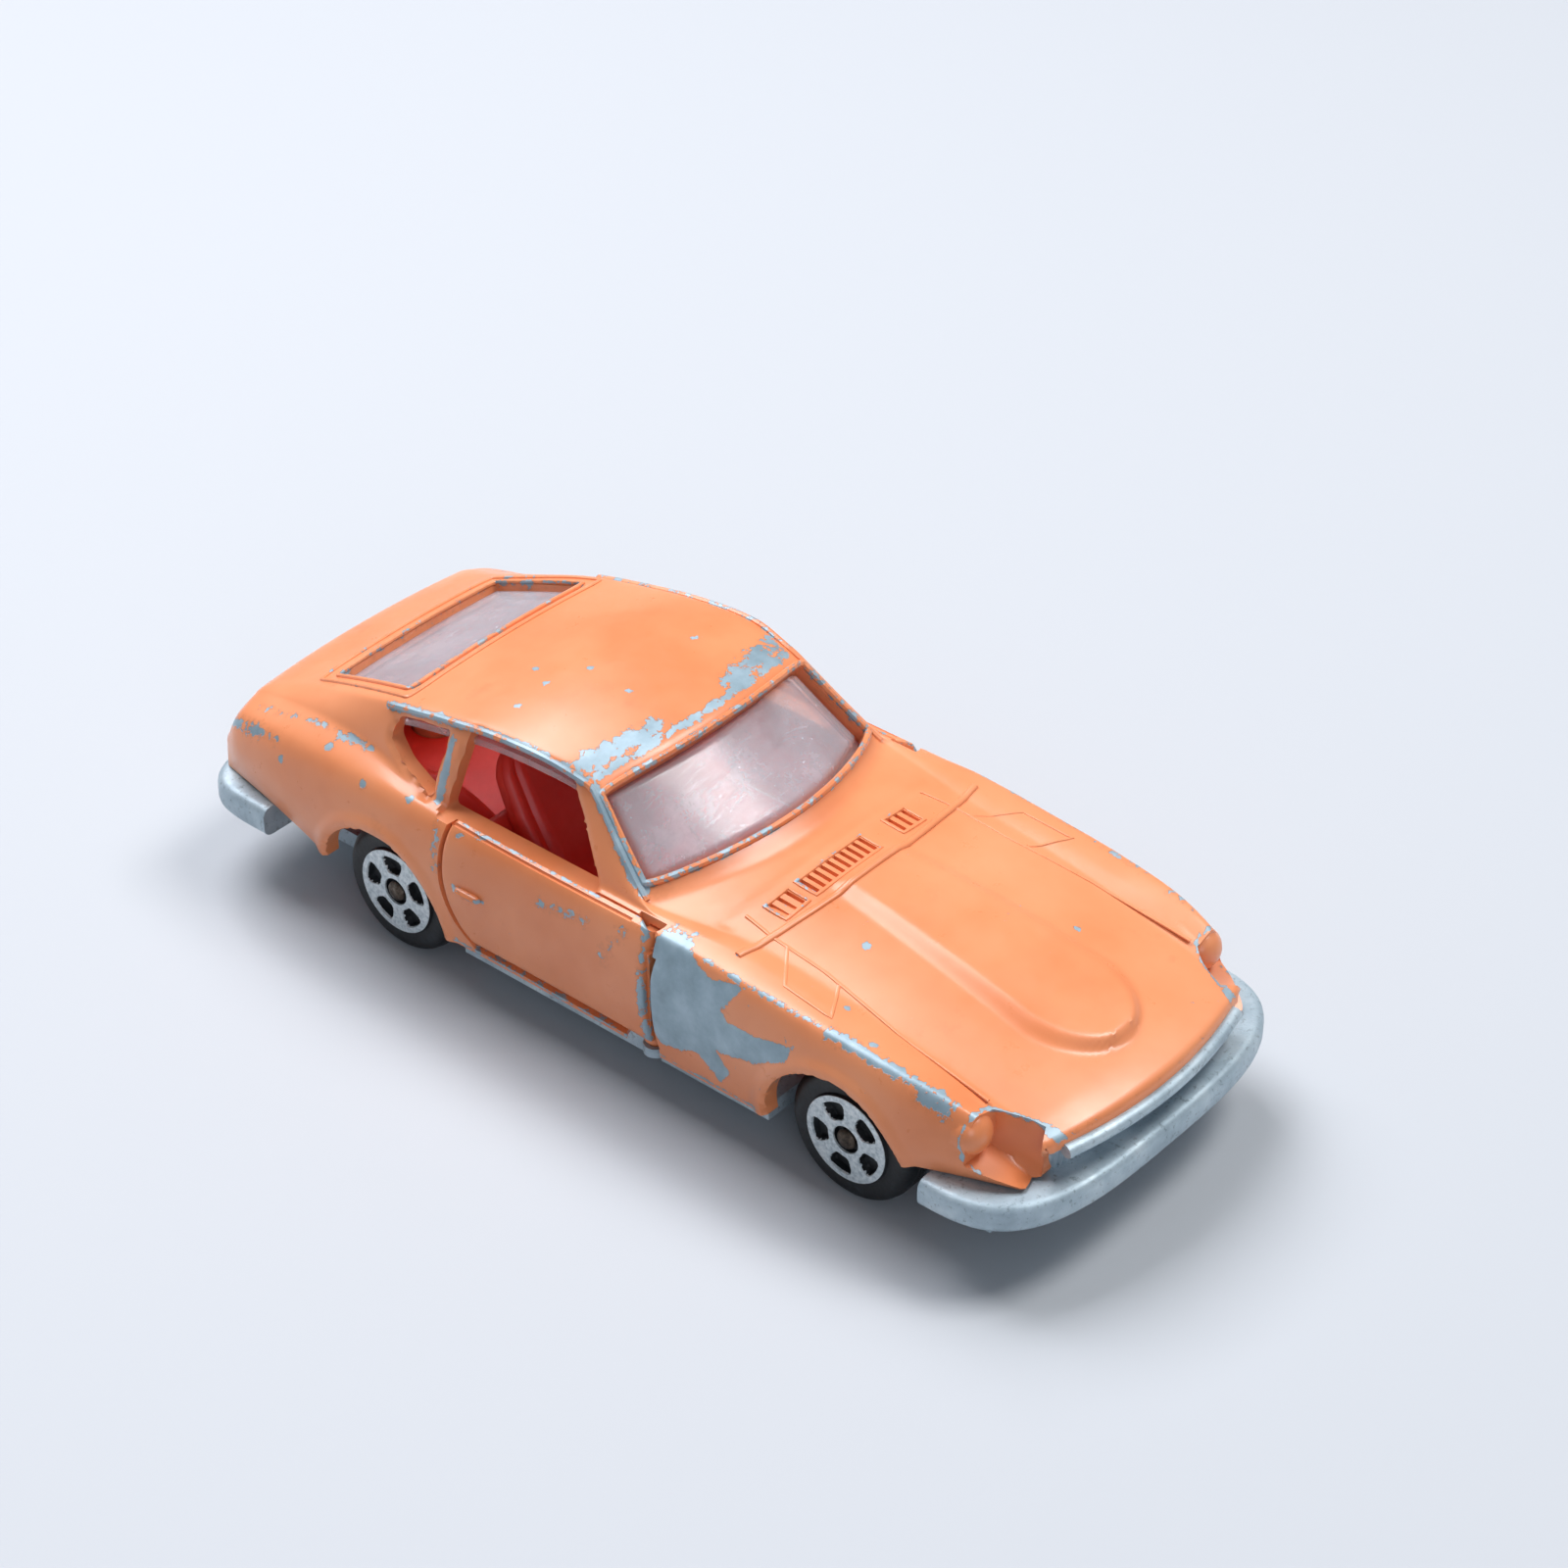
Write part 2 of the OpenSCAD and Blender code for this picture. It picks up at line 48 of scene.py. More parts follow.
def linear(hex_colour):
    """sRGB hex to linear RGB: each channel c becomes ((c + 0.055) / 1.055) ** 2.4, or c / 12.92 when dark."""
    c = np.array([int(hex_colour[i:i + 2], 16) for i in (1, 3, 5)]) / 255
    rgb = np.where(c <= 0.04045, c / 12.92, ((c + 0.055) / 1.055) ** 2.4)
    return (*rgb.tolist(), 1.0)


def material(name):
    """New material with an empty node tree: returns both."""
    made = bpy.data.materials.new(name)
    made.use_nodes = True
    made.node_tree.nodes.clear()
    return made, made.node_tree


def add_node(tree, kind, sockets=None, out=None, stops=(), **settings):
    """Add one node: its settings, its colour stops, and a value or a link on each socket, by name or
    number. Returns the output called out, or the first one in use."""
    made = tree.nodes.new("ShaderNode" + kind)
    for key, value in settings.items():
        setattr(made, key, value)
    for i, (place, tone) in enumerate(stops):
        band = made.color_ramp.elements[i] if i < 2 else made.color_ramp.elements.new(place)
        band.position = place
        band.color = linear(tone)
    for key, value in (sockets or {}).items():
        by_name = [socket for socket in made.inputs if socket.enabled and socket.name == key]
        socket = by_name[0] if by_name else made.inputs[key]
        if isinstance(value, bpy.types.NodeSocket):
            tree.links.new(value, socket)
        else:
            socket.default_value = value
    return made.outputs[out] if out else next((socket for socket in made.outputs if socket.enabled), None)


def mesh_object(name, parts, finishes):
    """Object from (points in mm, faces) parts. Edges sharper than 35 degrees stay crisp."""
    points = np.concatenate([p[0] for p in parts]) * MM
    faces, start = [], 0
    for part in parts:
        faces += [[int(i) + start for i in face] for face in part[1]]
        start += len(part[0])
    data = bpy.data.meshes.new(name)
    data.from_pydata(points.tolist(), [], faces)
    data.polygons.foreach_set("use_smooth", [True] * len(faces))
    data.set_sharp_from_angle(angle=math.radians(35))
    for finish in finishes:
        data.materials.append(finish)
    data.validate()
    data.update()
    made = bpy.data.objects.new(name, data)
    bpy.context.scene.collection.objects.link(made)
    return made


floor_size = 3000
floor_points = floor_size * np.array([[-1, -1, 0], [1, -1, 0], [1, 1, 0], [-1, 1, 0]], float)
floor_material, tree = material("pale_matt_laminate")
add_node(tree, "OutputMaterial", {"Surface": add_node(tree, "BsdfPrincipled", {
    "Base Color": linear("#BFC2C6"), "Roughness": 0.6})})
table_top = mesh_object("table_top", [(floor_points, [[0, 1, 2, 3]])], [floor_material])

scene = bpy.context.scene
scene.view_settings.view_transform = "Standard"
world = bpy.data.worlds.new("soft_room")
scene.world = world
world.use_nodes = True
world.node_tree.nodes["Background"].inputs["Color"].default_value = linear("#C9D2DC")
world.node_tree.nodes["Background"].inputs["Strength"].default_value = 0.32


def soft_light(name, place, target, size, watts, colour):
    """Square area light at place, aimed at target, both in millimetres."""
    data = bpy.data.lights.new(name, "AREA")
    data.shape = "SQUARE"
    data.size = size * MM
    data.energy = watts
    data.color = linear(colour)[:3]
    lamp = bpy.data.objects.new(name, data)
    lamp.location = np.array(place) * MM
    aim = (np.array(target) - np.array(place)).astype(float)
    lamp.rotation_euler = mathutils.Vector(aim).to_track_quat("-Z", "Y").to_euler()
    scene.collection.objects.link(lamp)


soft_light("overhead_softbox", (60, 260, 420), (0, 0, 5), 330, 2.8, "#F8F9FF")
soft_light("glass_gleam", (200, -150, 470), (0, 0, 17), 190, 1.5, "#FFFFFF")
soft_light("front_fill", (-330, -420, 260), (0, -10, 8), 260, 0.5, "#EAF0FF")

# The camera looks along a line 35.58 degrees below the level and 49.51 degrees round from the nose
lead = 20.4  # the front axle's distance ahead of the middle of the car
camera_data = bpy.data.cameras.new("camera")
camera_data.sensor_width = 36
camera_data.lens = 92.9
camera = bpy.data.objects.new("camera", camera_data)
camera.location = np.array([-156.9, -118.5 - lead, 164.9]) * MM
camera.rotation_euler = (math.pi / 2 - math.radians(35.58), 0, math.radians(-49.51))
scene.collection.objects.link(camera)
scene.camera = camera

# ---------------------------------------------------------------- Body shell
# One zinc casting, sprayed with orange enamel that has worn back to grey zinc on every raised edge.
# Its skin is lofted through the lines below; each point starts with its distance behind the front axle.
wall = 1.1
crown = [[-14.9, 9.95], [-12.5, 10.85], [-8, 11.95], [-3, 12.9], [3, 13.75], [9.9, 14.4], [13, 14.6],
         [13.6, 14.95], [17.5, 17.35], [21.3, 19.75], [22.1, 20.05], [26, 20.6], [31, 20.4], [36, 19.35],
         [41, 17.9], [46, 16.1], [50, 14.5], [53.2, 13.3], [54, 12.7], [55.1, 10.2]]
rail = [[-14.9, 9.2, 9.7], [-12.5, 9.4, 10.4], [-3, 9.8, 12.15], [3, 9.9, 13], [9.9, 10.2, 13.7],
        [13, 11.3, 13.8], [13.6, 11.3, 13.95], [17.5, 10.5, 16.4], [21.3, 9.7, 18.9], [22.1, 9.7, 19.2],
        [26, 10, 19.85], [31, 10, 19.6], [36, 9.9, 18.7], [41, 9.7, 17.5], [46, 9.2, 15.8], [50, 8.9, 14.3],
        [53.2, 8.8, 13.1], [54, 8.8, 12.5], [55.1, 8.7, 10.1]]
foot = [[-14.9, 9.9, 9.6], [-8, 10.9, 11.7], [-3, 11.2, 12.5], [3, 11.4, 13.2], [9.9, 11.7, 13.75],
        [13, 12.0, 13.75], [17.5, 11.9, 13.7], [26, 11.9, 13.7], [36, 11.8, 13.8], [41, 11.2, 14.5],
        [46, 10.8, 14.4], [50, 10.3, 13.7], [53.2, 10, 12.9], [54, 10, 12.3], [55.1, 9.9, 10]]
shoulder = [[-14.9, 10.7, 9.2], [-12.5, 11.5, 10.8], [-8, 12.4, 12.1], [-2, 12.85, 12.75], [3, 13, 13.1],
            [9.9, 13.1, 13.55], [13, 13, 13.5], [26, 13, 13.4], [36, 12.8, 13.5], [41, 12.7, 13.6],
            [46, 12.4, 13.4], [50, 12, 12.9], [53.2, 11.6, 12.3], [54, 11.5, 11.8], [55.1, 11.1, 9.9]]
side = [[-14.9, 11.3, 8.0], [-12.5, 12.6, 8.4], [-8, 13.6, 8.7], [-3, 13.95, 9], [3, 14, 9.4],
        [9.9, 13.9, 9.5], [26, 13.85, 9.5], [36, 14, 9.6], [41, 14, 9.6], [46, 13.7, 9.7], [50, 13.3, 9.9],
        [53.2, 12.7, 9.9], [54, 12.4, 9.7], [55.1, 11.8, 9.2]]
sill = [[-14.9, 11, 7], [-8, 13.4, 6.9], [-5, 13.5, 6.0], [3, 13.4, 4.4], [26, 13.3, 4.3], [36, 13.4, 4.4],
        [41, 13.4, 4.6], [46, 13.2, 6.3], [50, 12.9, 7.2], [55.1, 11.9, 7.2]]
sweep = [[-14.9, 1.6, 1.6], [-12.5, 1.3, 1.3], [-8, 0.8, 0.8], [-3, 0.3, 0.3], [3, 0, 0], [9.9, 0.2, 0],
         [13, 2.6, 0], [13.6, 2.6, 0], [17.5, 2.1, 0], [21.3, 1.4, 0], [22.1, 1.3, 0], [26, 0.5, 0],
         [31, 0, 0], [41, 0, 0], [55.1, -0.4, -0.4]]
wheelbase = 38.4
wheel_height = 4.7
arch_r = 5.45


def grid_faces(rows, columns, wrap_rows=False, wrap_columns=False):
    """Quads of a grid of points stored row by row, joined round in either direction if asked."""
    r, c = np.meshgrid(np.arange(rows if wrap_rows else rows - 1),
                       np.arange(columns if wrap_columns else columns - 1), indexing="ij")
    r2, c2 = (r + 1) % rows, (c + 1) % columns
    corners = [r * columns + c, r * columns + c2, r2 * columns + c2, r2 * columns + c]
    return np.stack(corners, -1).reshape(-1, 4)


def on_curve(line, s):
    """Smooth curve through a line's points, at every s: a cubic between neighbours whose end slopes are
    those of the chords across each point."""
    line = np.array(line, float)
    x, v = line[:, 0], line[:, 1:]
    low, high = np.maximum(np.arange(len(x)) - 1, 0), np.minimum(np.arange(len(x)) + 1, len(x) - 1)
    slope = (v[high] - v[low]) / (x[high] - x[low])[:, None]
    s = np.asarray(s, float)
    i = np.clip(np.searchsorted(x, s, side="right") - 1, 0, len(x) - 2)
    h = (x[i + 1] - x[i])[..., None]
    u = (s[..., None] - x[i][..., None]) / h
    return ((2 * u**3 - 3 * u**2 + 1) * v[i] + (u**3 - 2 * u**2 + u) * h * slope[i]
            + (3 * u**2 - 2 * u**3) * v[i + 1] + (u**3 - u**2) * h * slope[i + 1])


def skin(s, t):
    """Body skin in mm at distance s behind the front axle and place t round the section: 0 on the centre
    line, 1 on the rail, 2 at the cabin's foot, 3 on the shoulder, 4 at the widest line and 5 at the
    bottom edge, with the sign of the side. Each stretch is the arc (1 - u)^2 a + 2u(1 - u) b + u^2 c
    between its two lines."""
    s, t = np.broadcast_arrays(np.asarray(s, float), np.asarray(t, float))
    c, r, f, h, w, b, back = [on_curve(line, s) for line in (crown, rail, foot, shoulder, side, sill, sweep)]
    ends = np.stack([np.stack([0 * s, c[..., 0]], -1), r, f, h, w, b], -2)
    bends = np.stack([
        np.stack([0.55 * r[..., 0], c[..., 0]], -1), (r + f) / 2 + [0.25, 0.1], (f + h) / 2 + [0, 0.05],
        np.stack([0.75 * w[..., 0] + 0.25 * h[..., 0] + 0.1, 0.75 * h[..., 1] + 0.25 * w[..., 1]], -1),
        np.stack([w[..., 0] + 0.05, (w[..., 1] + b[..., 1]) / 2], -1)], -2)
    k = np.minimum(np.abs(t).astype(int), 4)
    u = (np.abs(t) - k)[..., None]

    def pick(points, which):
        return np.take_along_axis(points, which[..., None, None], -2)[..., 0, :]

    p = (1 - u) ** 2 * pick(ends, k) + 2 * u * (1 - u) * pick(bends, k) + u**2 * pick(ends, k + 1)
    share = np.clip((3 - np.abs(t)) / 2, 0, 1)
    x = p[..., 0]
    y = s - lead + (back[..., 0] * share + back[..., 1] * (1 - share)) * (x / 10) ** 2
    return np.stack([x * np.where(t < 0, -1, 1), y, p[..., 1]], -1)


def grid_normals(points):
    """Unit normals of a grid of points, from the differences along its rows and columns."""
    n = np.cross(np.gradient(points, axis=1), np.gradient(points, axis=0))
    return n / np.maximum(np.linalg.norm(n, axis=-1, keepdims=True), 1e-9)


def softened(points, times):
    """Average every inner grid point with its four neighbours, again and again, so that the lines blend
    into curves."""
    for _ in range(times):
        inner = points[1:-1, 1:-1]
        around = points[:-2, 1:-1] + points[2:, 1:-1] + points[1:-1, :-2] + points[1:-1, 2:]
        points = points.copy()
        points[1:-1, 1:-1] = inner / 2 + around / 8
    return points


def smooth_step(low, high, value):
    """0 below low, 1 above high, 3u^2 - 2u^3 between."""
    u = np.clip((value - low) / (high - low), 0, 1)
    return u * u * (3 - 2 * u)


def distance_to(points, line, closed=False):
    """Shortest distance from every point to a polyline, segment by segment."""
    line = np.asarray(line, float)
    if closed:
        line = np.concatenate([line, line[:1]])
    flat = points.reshape(-1, points.shape[-1])
    best = np.full(len(flat), 1e9)
    for a, b in zip(line[:-1], line[1:]):
        u = np.clip((flat - a) @ (b - a) / max((b - a) @ (b - a), 1e-12), 0, 1)[:, None]
        best = np.minimum(best, np.linalg.norm(flat - a - u * (b - a), axis=1))
    return best.reshape(points.shape[:-1])


def rounded_outline(corners, radius):
    """Closed outline through corners in a plane, each rounded by a quadratic arc that starts and ends
    radius away."""
    corners = np.array(corners, float)
    before, after = np.roll(corners, 1, 0), np.roll(corners, -1, 0)
    start = corners + (before - corners) / np.linalg.norm(before - corners, axis=1)[:, None] * radius
    stop = corners + (after - corners) / np.linalg.norm(after - corners, axis=1)[:, None] * radius
    u = np.linspace(0, 1, 8)[:, None, None]
    arcs = (1 - u) ** 2 * start + 2 * u * (1 - u) * corners + u**2 * stop
    return arcs.transpose(1, 0, 2).reshape(-1, 2)


def dense(outline, pitch, closed=True):
    """The same outline with points at most pitch apart."""
    ends = np.roll(outline, -1, 0) if closed else outline[1:]
    pieces = [max(int(np.linalg.norm(b - a) / pitch), 1) for a, b in zip(outline, ends)]
    parts = [a + (b - a) * np.linspace(0, 1, count, endpoint=False)[:, None]
             for a, b, count in zip(outline, ends, pieces)]
    return np.concatenate(parts if closed else parts + [outline[-1:]])


def prism_along_x(outline, x_in, x_out):
    """Closed prism across the car from a (y, z) outline."""
    n = len(outline)
    near = np.column_stack([np.full(n, x_in), outline])
    far = np.column_stack([np.full(n, x_out), outline])
    walls = [[i, (i + 1) % n, (i + 1) % n + n, i + n] for i in range(n)]
    return np.concatenate([near, far]), walls + [list(range(n))[::-1], list(range(n, 2 * n))]


def tube(path, radius, closed=False, sides=10, squash=1.0, up=(0, 0, 1)):
    """Round bead along a path: at each point, radius (cos a across + squash sin a up), where across is the
    path's direction crossed with up."""
    path = np.asarray(path, float)
    along = np.roll(path, -1, 0) - np.roll(path, 1, 0) if closed else np.gradient(path, axis=0)
    along /= np.linalg.norm(along, axis=1, keepdims=True)
    across = np.cross(along, np.broadcast_to(np.asarray(up, float), path.shape))
    across /= np.linalg.norm(across, axis=1, keepdims=True)
    rise = np.cross(across, along)
    a = 2 * np.pi * np.arange(sides) / sides
    r = np.broadcast_to(np.asarray(radius, float), len(path))[:, None, None]
    points = path[:, None] + r * (np.cos(a)[None, :, None] * across[:, None]
                                  + squash * np.sin(a)[None, :, None] * rise[:, None])
    faces = grid_faces(len(path), sides, wrap_rows=closed, wrap_columns=True).tolist()
    if not closed:
        last = (len(path) - 1) * sides
        faces += [list(range(sides)), [last + i for i in range(sides)][::-1]]
    return points.reshape(-1, 3), faces


def combine(target, tool, operation="DIFFERENCE"):
    """Cut the tool from the target, or join them, with a manifold boolean that is applied at once."""
    step = target.modifiers.new(operation.lower(), "BOOLEAN")
    step.operation = operation
    step.solver = "MANIFOLD"
    step.object = tool
    bpy.context.view_layer.update()
    finished = bpy.data.meshes.new_from_object(target.evaluated_get(bpy.context.evaluated_depsgraph_get()))
    target.modifiers.clear()
    old = target.data
    target.data = finished
    bpy.data.meshes.remove(old)
    bpy.data.objects.remove(tool)


def solid(name, points, faces):
    """Closed mesh object with its faces turned outwards, to cut or join with."""
    made = mesh_object(name, [(np.asarray(points, float), faces)], [])
    work = bmesh.new()
    work.from_mesh(made.data)
    bmesh.ops.recalc_face_normals(work, faces=work.faces)
    work.to_mesh(made.data)
    work.free()
    return made


def dressed(obj, finish, smooth_angle=38):
    """Give a finished mesh its one material and smooth faces, with crisp edges past the angle."""
    obj.data.materials.clear()
    obj.data.materials.append(finish)
    obj.data.polygons.foreach_set("material_index", np.zeros(len(obj.data.polygons), np.int32))
    obj.data.polygons.foreach_set("use_smooth", [True] * len(obj.data.polygons))
    obj.data.set_sharp_from_angle(angle=math.radians(smooth_angle))
    return obj


def coordinates(obj):
    """All vertex positions of a mesh, in mm."""
    flat = np.empty(len(obj.data.vertices) * 3, np.float32)
    obj.data.vertices.foreach_get("co", flat)
    return flat.reshape(-1, 3).astype(float) / MM


def paint_on(obj, name, values):
    """Keep one number for each vertex as an attribute that the material reads."""
    obj.data.attributes.new(name, "FLOAT", "POINT").data.foreach_set("value", values.astype(np.float32))


def loft(rings):
    """Closed solid through rings of equal length; each end is closed by a ladder of quads between its two
    halves."""
    m, n = rings.shape[:2]
    faces = grid_faces(m, n, wrap_columns=True).tolist()
    ladder = [[i, i + 1, n - 2 - i, n - 1 - i] for i in range((n + 1) // 2 - 1)]
    ladder = [f if f[1] != f[2] else [f[0], f[1], f[3]] for f in ladder]
    last = (m - 1) * n
    return rings.reshape(-1, 3), faces + ladder + [[last + i for i in f[::-1]] for f in ladder]


def on_skin(outline):
    """Points of the body's skin under an outline in (s, t)."""
    return skin(outline[:, 0], outline[:, 1])


# Openings. The windscreen and the hatch are outlines in (s, t); the side ones are outlines in (y, z).
windscreen = rounded_outline([[14.6, -0.95], [14.6, 0.95], [20.9, 0.95], [20.9, -0.95]], 0.28)
windscreen = dense(windscreen * [1, 10], 0.5) / [1, 10]
hatch = rounded_outline([[40.1, -0.82], [40.1, 0.82], [48.0, 0.80], [48.0, -0.80]], 0.22)
hatch = dense(hatch * [1, 8], 0.5) / [1, 8]
door_window = dense(rounded_outline(
    [[20.2, 13.3], [24.3, 19.1], [25.8, 19.5], [32.8, 19.05], [33.7, 13.3]], 0.45), 0.5) - [lead, 0]
quarter_window = dense(rounded_outline(
    [[35.0, 13.6], [34.55, 18.2], [39.2, 17.2], [39.6, 15.7], [38.0, 14.6]], 0.4), 0.5) - [lead, 0]
windscreen_rim = on_skin(windscreen)
hatch_rim = on_skin(hatch)
lamp = np.array([11.55, -9.5 - lead, 9.85])
lamp_r = 1.45

# Skin grid: fine rows along the car, and fine columns round the section
rows = np.linspace(-14.9, 55.1, 262)
stretch_columns = [38, 16, 7, 17, 20]
half_t = np.concatenate([k + np.arange(n) / n for k, n in enumerate(stretch_columns)] + [[5.0]])
columns = np.concatenate([-half_t[:0:-1], half_t])
shell = softened(skin(rows[:, None], columns[None, :]), 5)
out = grid_normals(shell)


def bulge_rise(x, s):
    """Height of the bonnet's bulge: a smooth step across its edge, half an ellipse in plan at the nose, and
    lower towards the windscreen."""
    half = np.interp(s, [-7.5, 0.8, 9.5], [3.9, 3.35, 2.6])
    half = half * np.sqrt(np.clip(1 - (np.clip(-6.5 - s, 0, 5) / 5) ** 2, 0, 1))
    inside = smooth_step(0.8, -0.6, x - half) * smooth_step(9.2, 8.2, s) * smooth_step(-11.9, -11.0, s)
    return 0.62 * inside * np.interp(s, [-11.5, -9, 8], [1.0, 0.85, 0.45])


x, s, z = np.abs(shell[..., 0]), shell[..., 1] + lead, shell[..., 2]
around = np.abs(columns[None, :])
lip = sum(smooth_step(6.7, 5.9, np.hypot(s - axle, z - wheel_height)) for axle in (0, wheelbase))
lip = lip * (around > 3)
scuttle = smooth_step(0.5, 0, np.abs(s - 11.6)) * (around < 0.95)
shell = shell + out * (bulge_rise(x, s) * (around < 1.02) + 0.22 * lip - 0.1 * scuttle)[..., None]


def rolled(distance, radius):
    """Depth of a rounded edge: radius - sqrt(radius^2 - (radius - distance)^2) within radius of the edge."""
    reach = np.clip(radius - distance, 0, radius)
    return radius - np.sqrt(radius**2 - reach**2)


# Every edge of an opening rolls in, as paint and tumbling leave it
upper_side = (around > 0.9) & (around < 2.6)
roll = np.zeros(shell.shape[:2])
for outline in (door_window, quarter_window):
    roll = np.maximum(roll, rolled(distance_to(shell[..., 1:], outline, True), 0.4) * upper_side)
for rim in (windscreen_rim, hatch_rim):
    roll = np.maximum(roll, rolled(distance_to(shell, rim[::2], True), 0.35))
for axle in (0, wheelbase):
    from_arch = np.clip(np.hypot(shell[..., 1] + lead - axle, shell[..., 2] - wheel_height) - arch_r, 0, None)
    roll = np.maximum(roll, rolled(from_arch, 0.4) * (around > 3))
nose_edge = rolled(shell[..., 1] - shell[:1, :, 1], 0.7)
shell = shell - out * np.maximum(roll, nose_edge)[..., None]

# The tail panel is the last ring drawn in to the middle of the bottom edge, with a shallow recess
tail_steps = np.array([0.985, 0.95, 0.88, 0.82, 0.55, 0.25, 0.05])[:, None, None]
tail_back = np.array([0.12, 0.2, 0.2, -0.15, -0.15, -0.15, -0.15])[:, None]
tail_middle = np.array([0, 0, 8.6])
tail = tail_middle + (shell[-1:] - tail_middle) * tail_steps
ring = shell[-1]
bow_terms = np.column_stack([np.ones(len(ring)), ring[:, 0] ** 2, ring[:, 2]])
bow_fit = np.linalg.lstsq(bow_terms, ring[:, 1], rcond=None)[0]
smooth_back = bow_fit[0] + bow_fit[1] * tail[..., 0] ** 2 + bow_fit[2] * tail[..., 2]
kept_edge = np.array([1, 0.8, 0.4, 0.1, 0, 0, 0])[:, None]
tail[..., 1] = ring[:, 1] * kept_edge + smooth_back * (1 - kept_edge) + tail_back
body = solid("body_casting", *loft(np.concatenate([shell, tail])))


def inner_skin(s, t, depth):
    """The skin moved in by a depth, across the section."""
    p = skin(s, t)
    n = grid_normals(p)
    return p - n * depth * np.sign((n * (p - [0, 0, 8])).sum(-1, keepdims=True))


inner_rows = np.concatenate([np.linspace(-13.7, 12.2, 30), np.linspace(12.9, 23.2, 24),
                             np.linspace(24, 53, 36)])
inner_t = np.array([0, 0.2, 0.4, 0.6, 0.8, 1, 1.3, 1.6, 2, 2.5, 3, 3.3, 3.6, 4, 4.5, 5])
inner_columns = np.concatenate([-inner_t[:0:-1], inner_t])
hollow = inner_skin(inner_rows[:, None], inner_columns[None, :], wall)
below = np.stack([np.full(len(inner_rows), -12.2), hollow[:, 0, 1], np.ones(len(inner_rows))], -1)
hollow = np.concatenate([below[:, None], hollow, (below * [-1, 1, 1])[:, None]], 1)
cavity = solid("cavity", *loft(hollow))


def box_part(low, high):
    """Closed box between two corners given in mm."""
    x, y, z = np.array([low, high], float).T
    points = np.array([[a, b, c] for a in x for b in y for c in z])
    return points, [[0, 1, 3, 2], [4, 6, 7, 5], [0, 4, 5, 1], [2, 3, 7, 6], [0, 2, 6, 4], [1, 5, 7, 3]]


def boxes(*corners):
    """Several separate boxes as one part."""
    parts = [box_part(low, high) for low, high in corners]
    return (np.concatenate([p[0] for p in parts]),
            [[i + 8 * k for i in face] for k, part in enumerate(parts) for face in part[1]])


def upright(x, y, radius, z_low, z_high, sides=32):
    """Closed upright rod, in mm."""
    a = 2 * np.pi * np.arange(sides) / sides
    ring = np.column_stack([x + radius * np.cos(a), y + radius * np.sin(a)])
    points = np.concatenate([np.column_stack([ring, np.full(sides, h)]) for h in (z_low, z_high)])
    walls = [[i, (i + 1) % sides, (i + 1) % sides + sides, i + sides] for i in range(sides)]
    return points, walls + [list(range(sides))[::-1], list(range(sides, 2 * sides))]


def on_both_sides(target, name, part, operation="DIFFERENCE"):
    """Cut or join a left-hand part and its mirror image."""
    for side_of in (1, -1):
        combine(target, solid(name, part[0] * [side_of, 1, 1], part[1]), operation)


# Cast corners behind the headlamps and the lugs of the doors' upper pins stay solid
pivot = np.array([12.2, 15.6 - lead])
on_both_sides(cavity, "corner", box_part([8.9, -16 - lead, 0], [16, -7.4 - lead, 16]))
on_both_sides(cavity, "lug", box_part([10.7, 15.15 - lead, 12.2], [12.25, 16.2 - lead, 16]))
combine(body, cavity)


def through_skin(rim, name):
    """Cutter that follows a rim's outline, straight through the wall along the mean normal of its middle."""
    above, below = 4.0, 3.2
    middle = rim.mean(0)
    n = np.cross(rim[len(rim) // 4] - middle, rim[0] - middle)
    n /= np.linalg.norm(n)
    n *= np.sign(n[2])
    count = len(rim)
    points = np.concatenate([rim + above * n, rim - below * n, [middle + above * n], [middle - below * n]])
    first = np.arange(count)
    ahead = (first + 1) % count
    walls = np.stack([first, ahead, ahead + count, first + count], -1).tolist()
    caps = [[a, b, 2 * count] for a, b in zip(first, ahead)]
    caps += [[b + count, a + count, 2 * count + 1] for a, b in zip(first, ahead)]
    return solid(name, points, walls + caps)


combine(body, through_skin(windscreen_rim, "windscreen_cut"))
combine(body, through_skin(hatch_rim, "hatch_cut"))
for outline in (door_window, quarter_window):
    on_both_sides(body, "side_cut", prism_along_x(outline, 8.4, 16))
turn = np.linspace(0, 2 * np.pi, 72, endpoint=False)
for axle in (0, wheelbase):
    circle = np.column_stack([axle - lead + arch_r * np.cos(turn), wheel_height + arch_r * np.sin(turn)])
    on_both_sides(body, "arch_cut", prism_along_x(circle, 9, 16))
combine(body, solid("mouth_cut", *boxes(([-8.7, -17 - lead, 4], [8.7, -11.5 - lead, 9.2]))))

# A door's edges in (height, s); both the opening and the door follow them
door_front = np.array([[3.5, 14.8], [5, 14.95], [8, 15.15], [13, 15.25], [14.5, 15.3]])
door_rear = np.array([[3.5, 29], [5, 30.2], [6.4, 31.4], [8.7, 32.3], [11.4, 32.5], [14.5, 32.1]])
door_top, door_bottom = 2.45, 4.86
swing_gap = 0.75
shut_gap = 0.2


def door_patch(t_low, t_high, ahead, behind, rows, columns, step=0.0):
    """Grid on the left side between a door's edges: rows go down in t, columns from the front edge to the
    rear one, and the ends move out by ahead and behind. step is how deep the grid lies below the skin."""
    t = np.linspace(t_low, t_high, rows)
    height = skin(np.full(rows, 24.0), t)[:, 2]
    front = on_curve(door_front, height)[:, 0] - ahead
    rear = on_curve(door_rear, height)[:, 0] + behind
    s = front[:, None] + (rear - front)[:, None] * np.linspace(0, 1, columns)
    p = skin(s, t[:, None] + 0 * s)
    n = grid_normals(p)
    n *= np.sign(n[..., :1] + 1e-9)
    return p - n * step, n


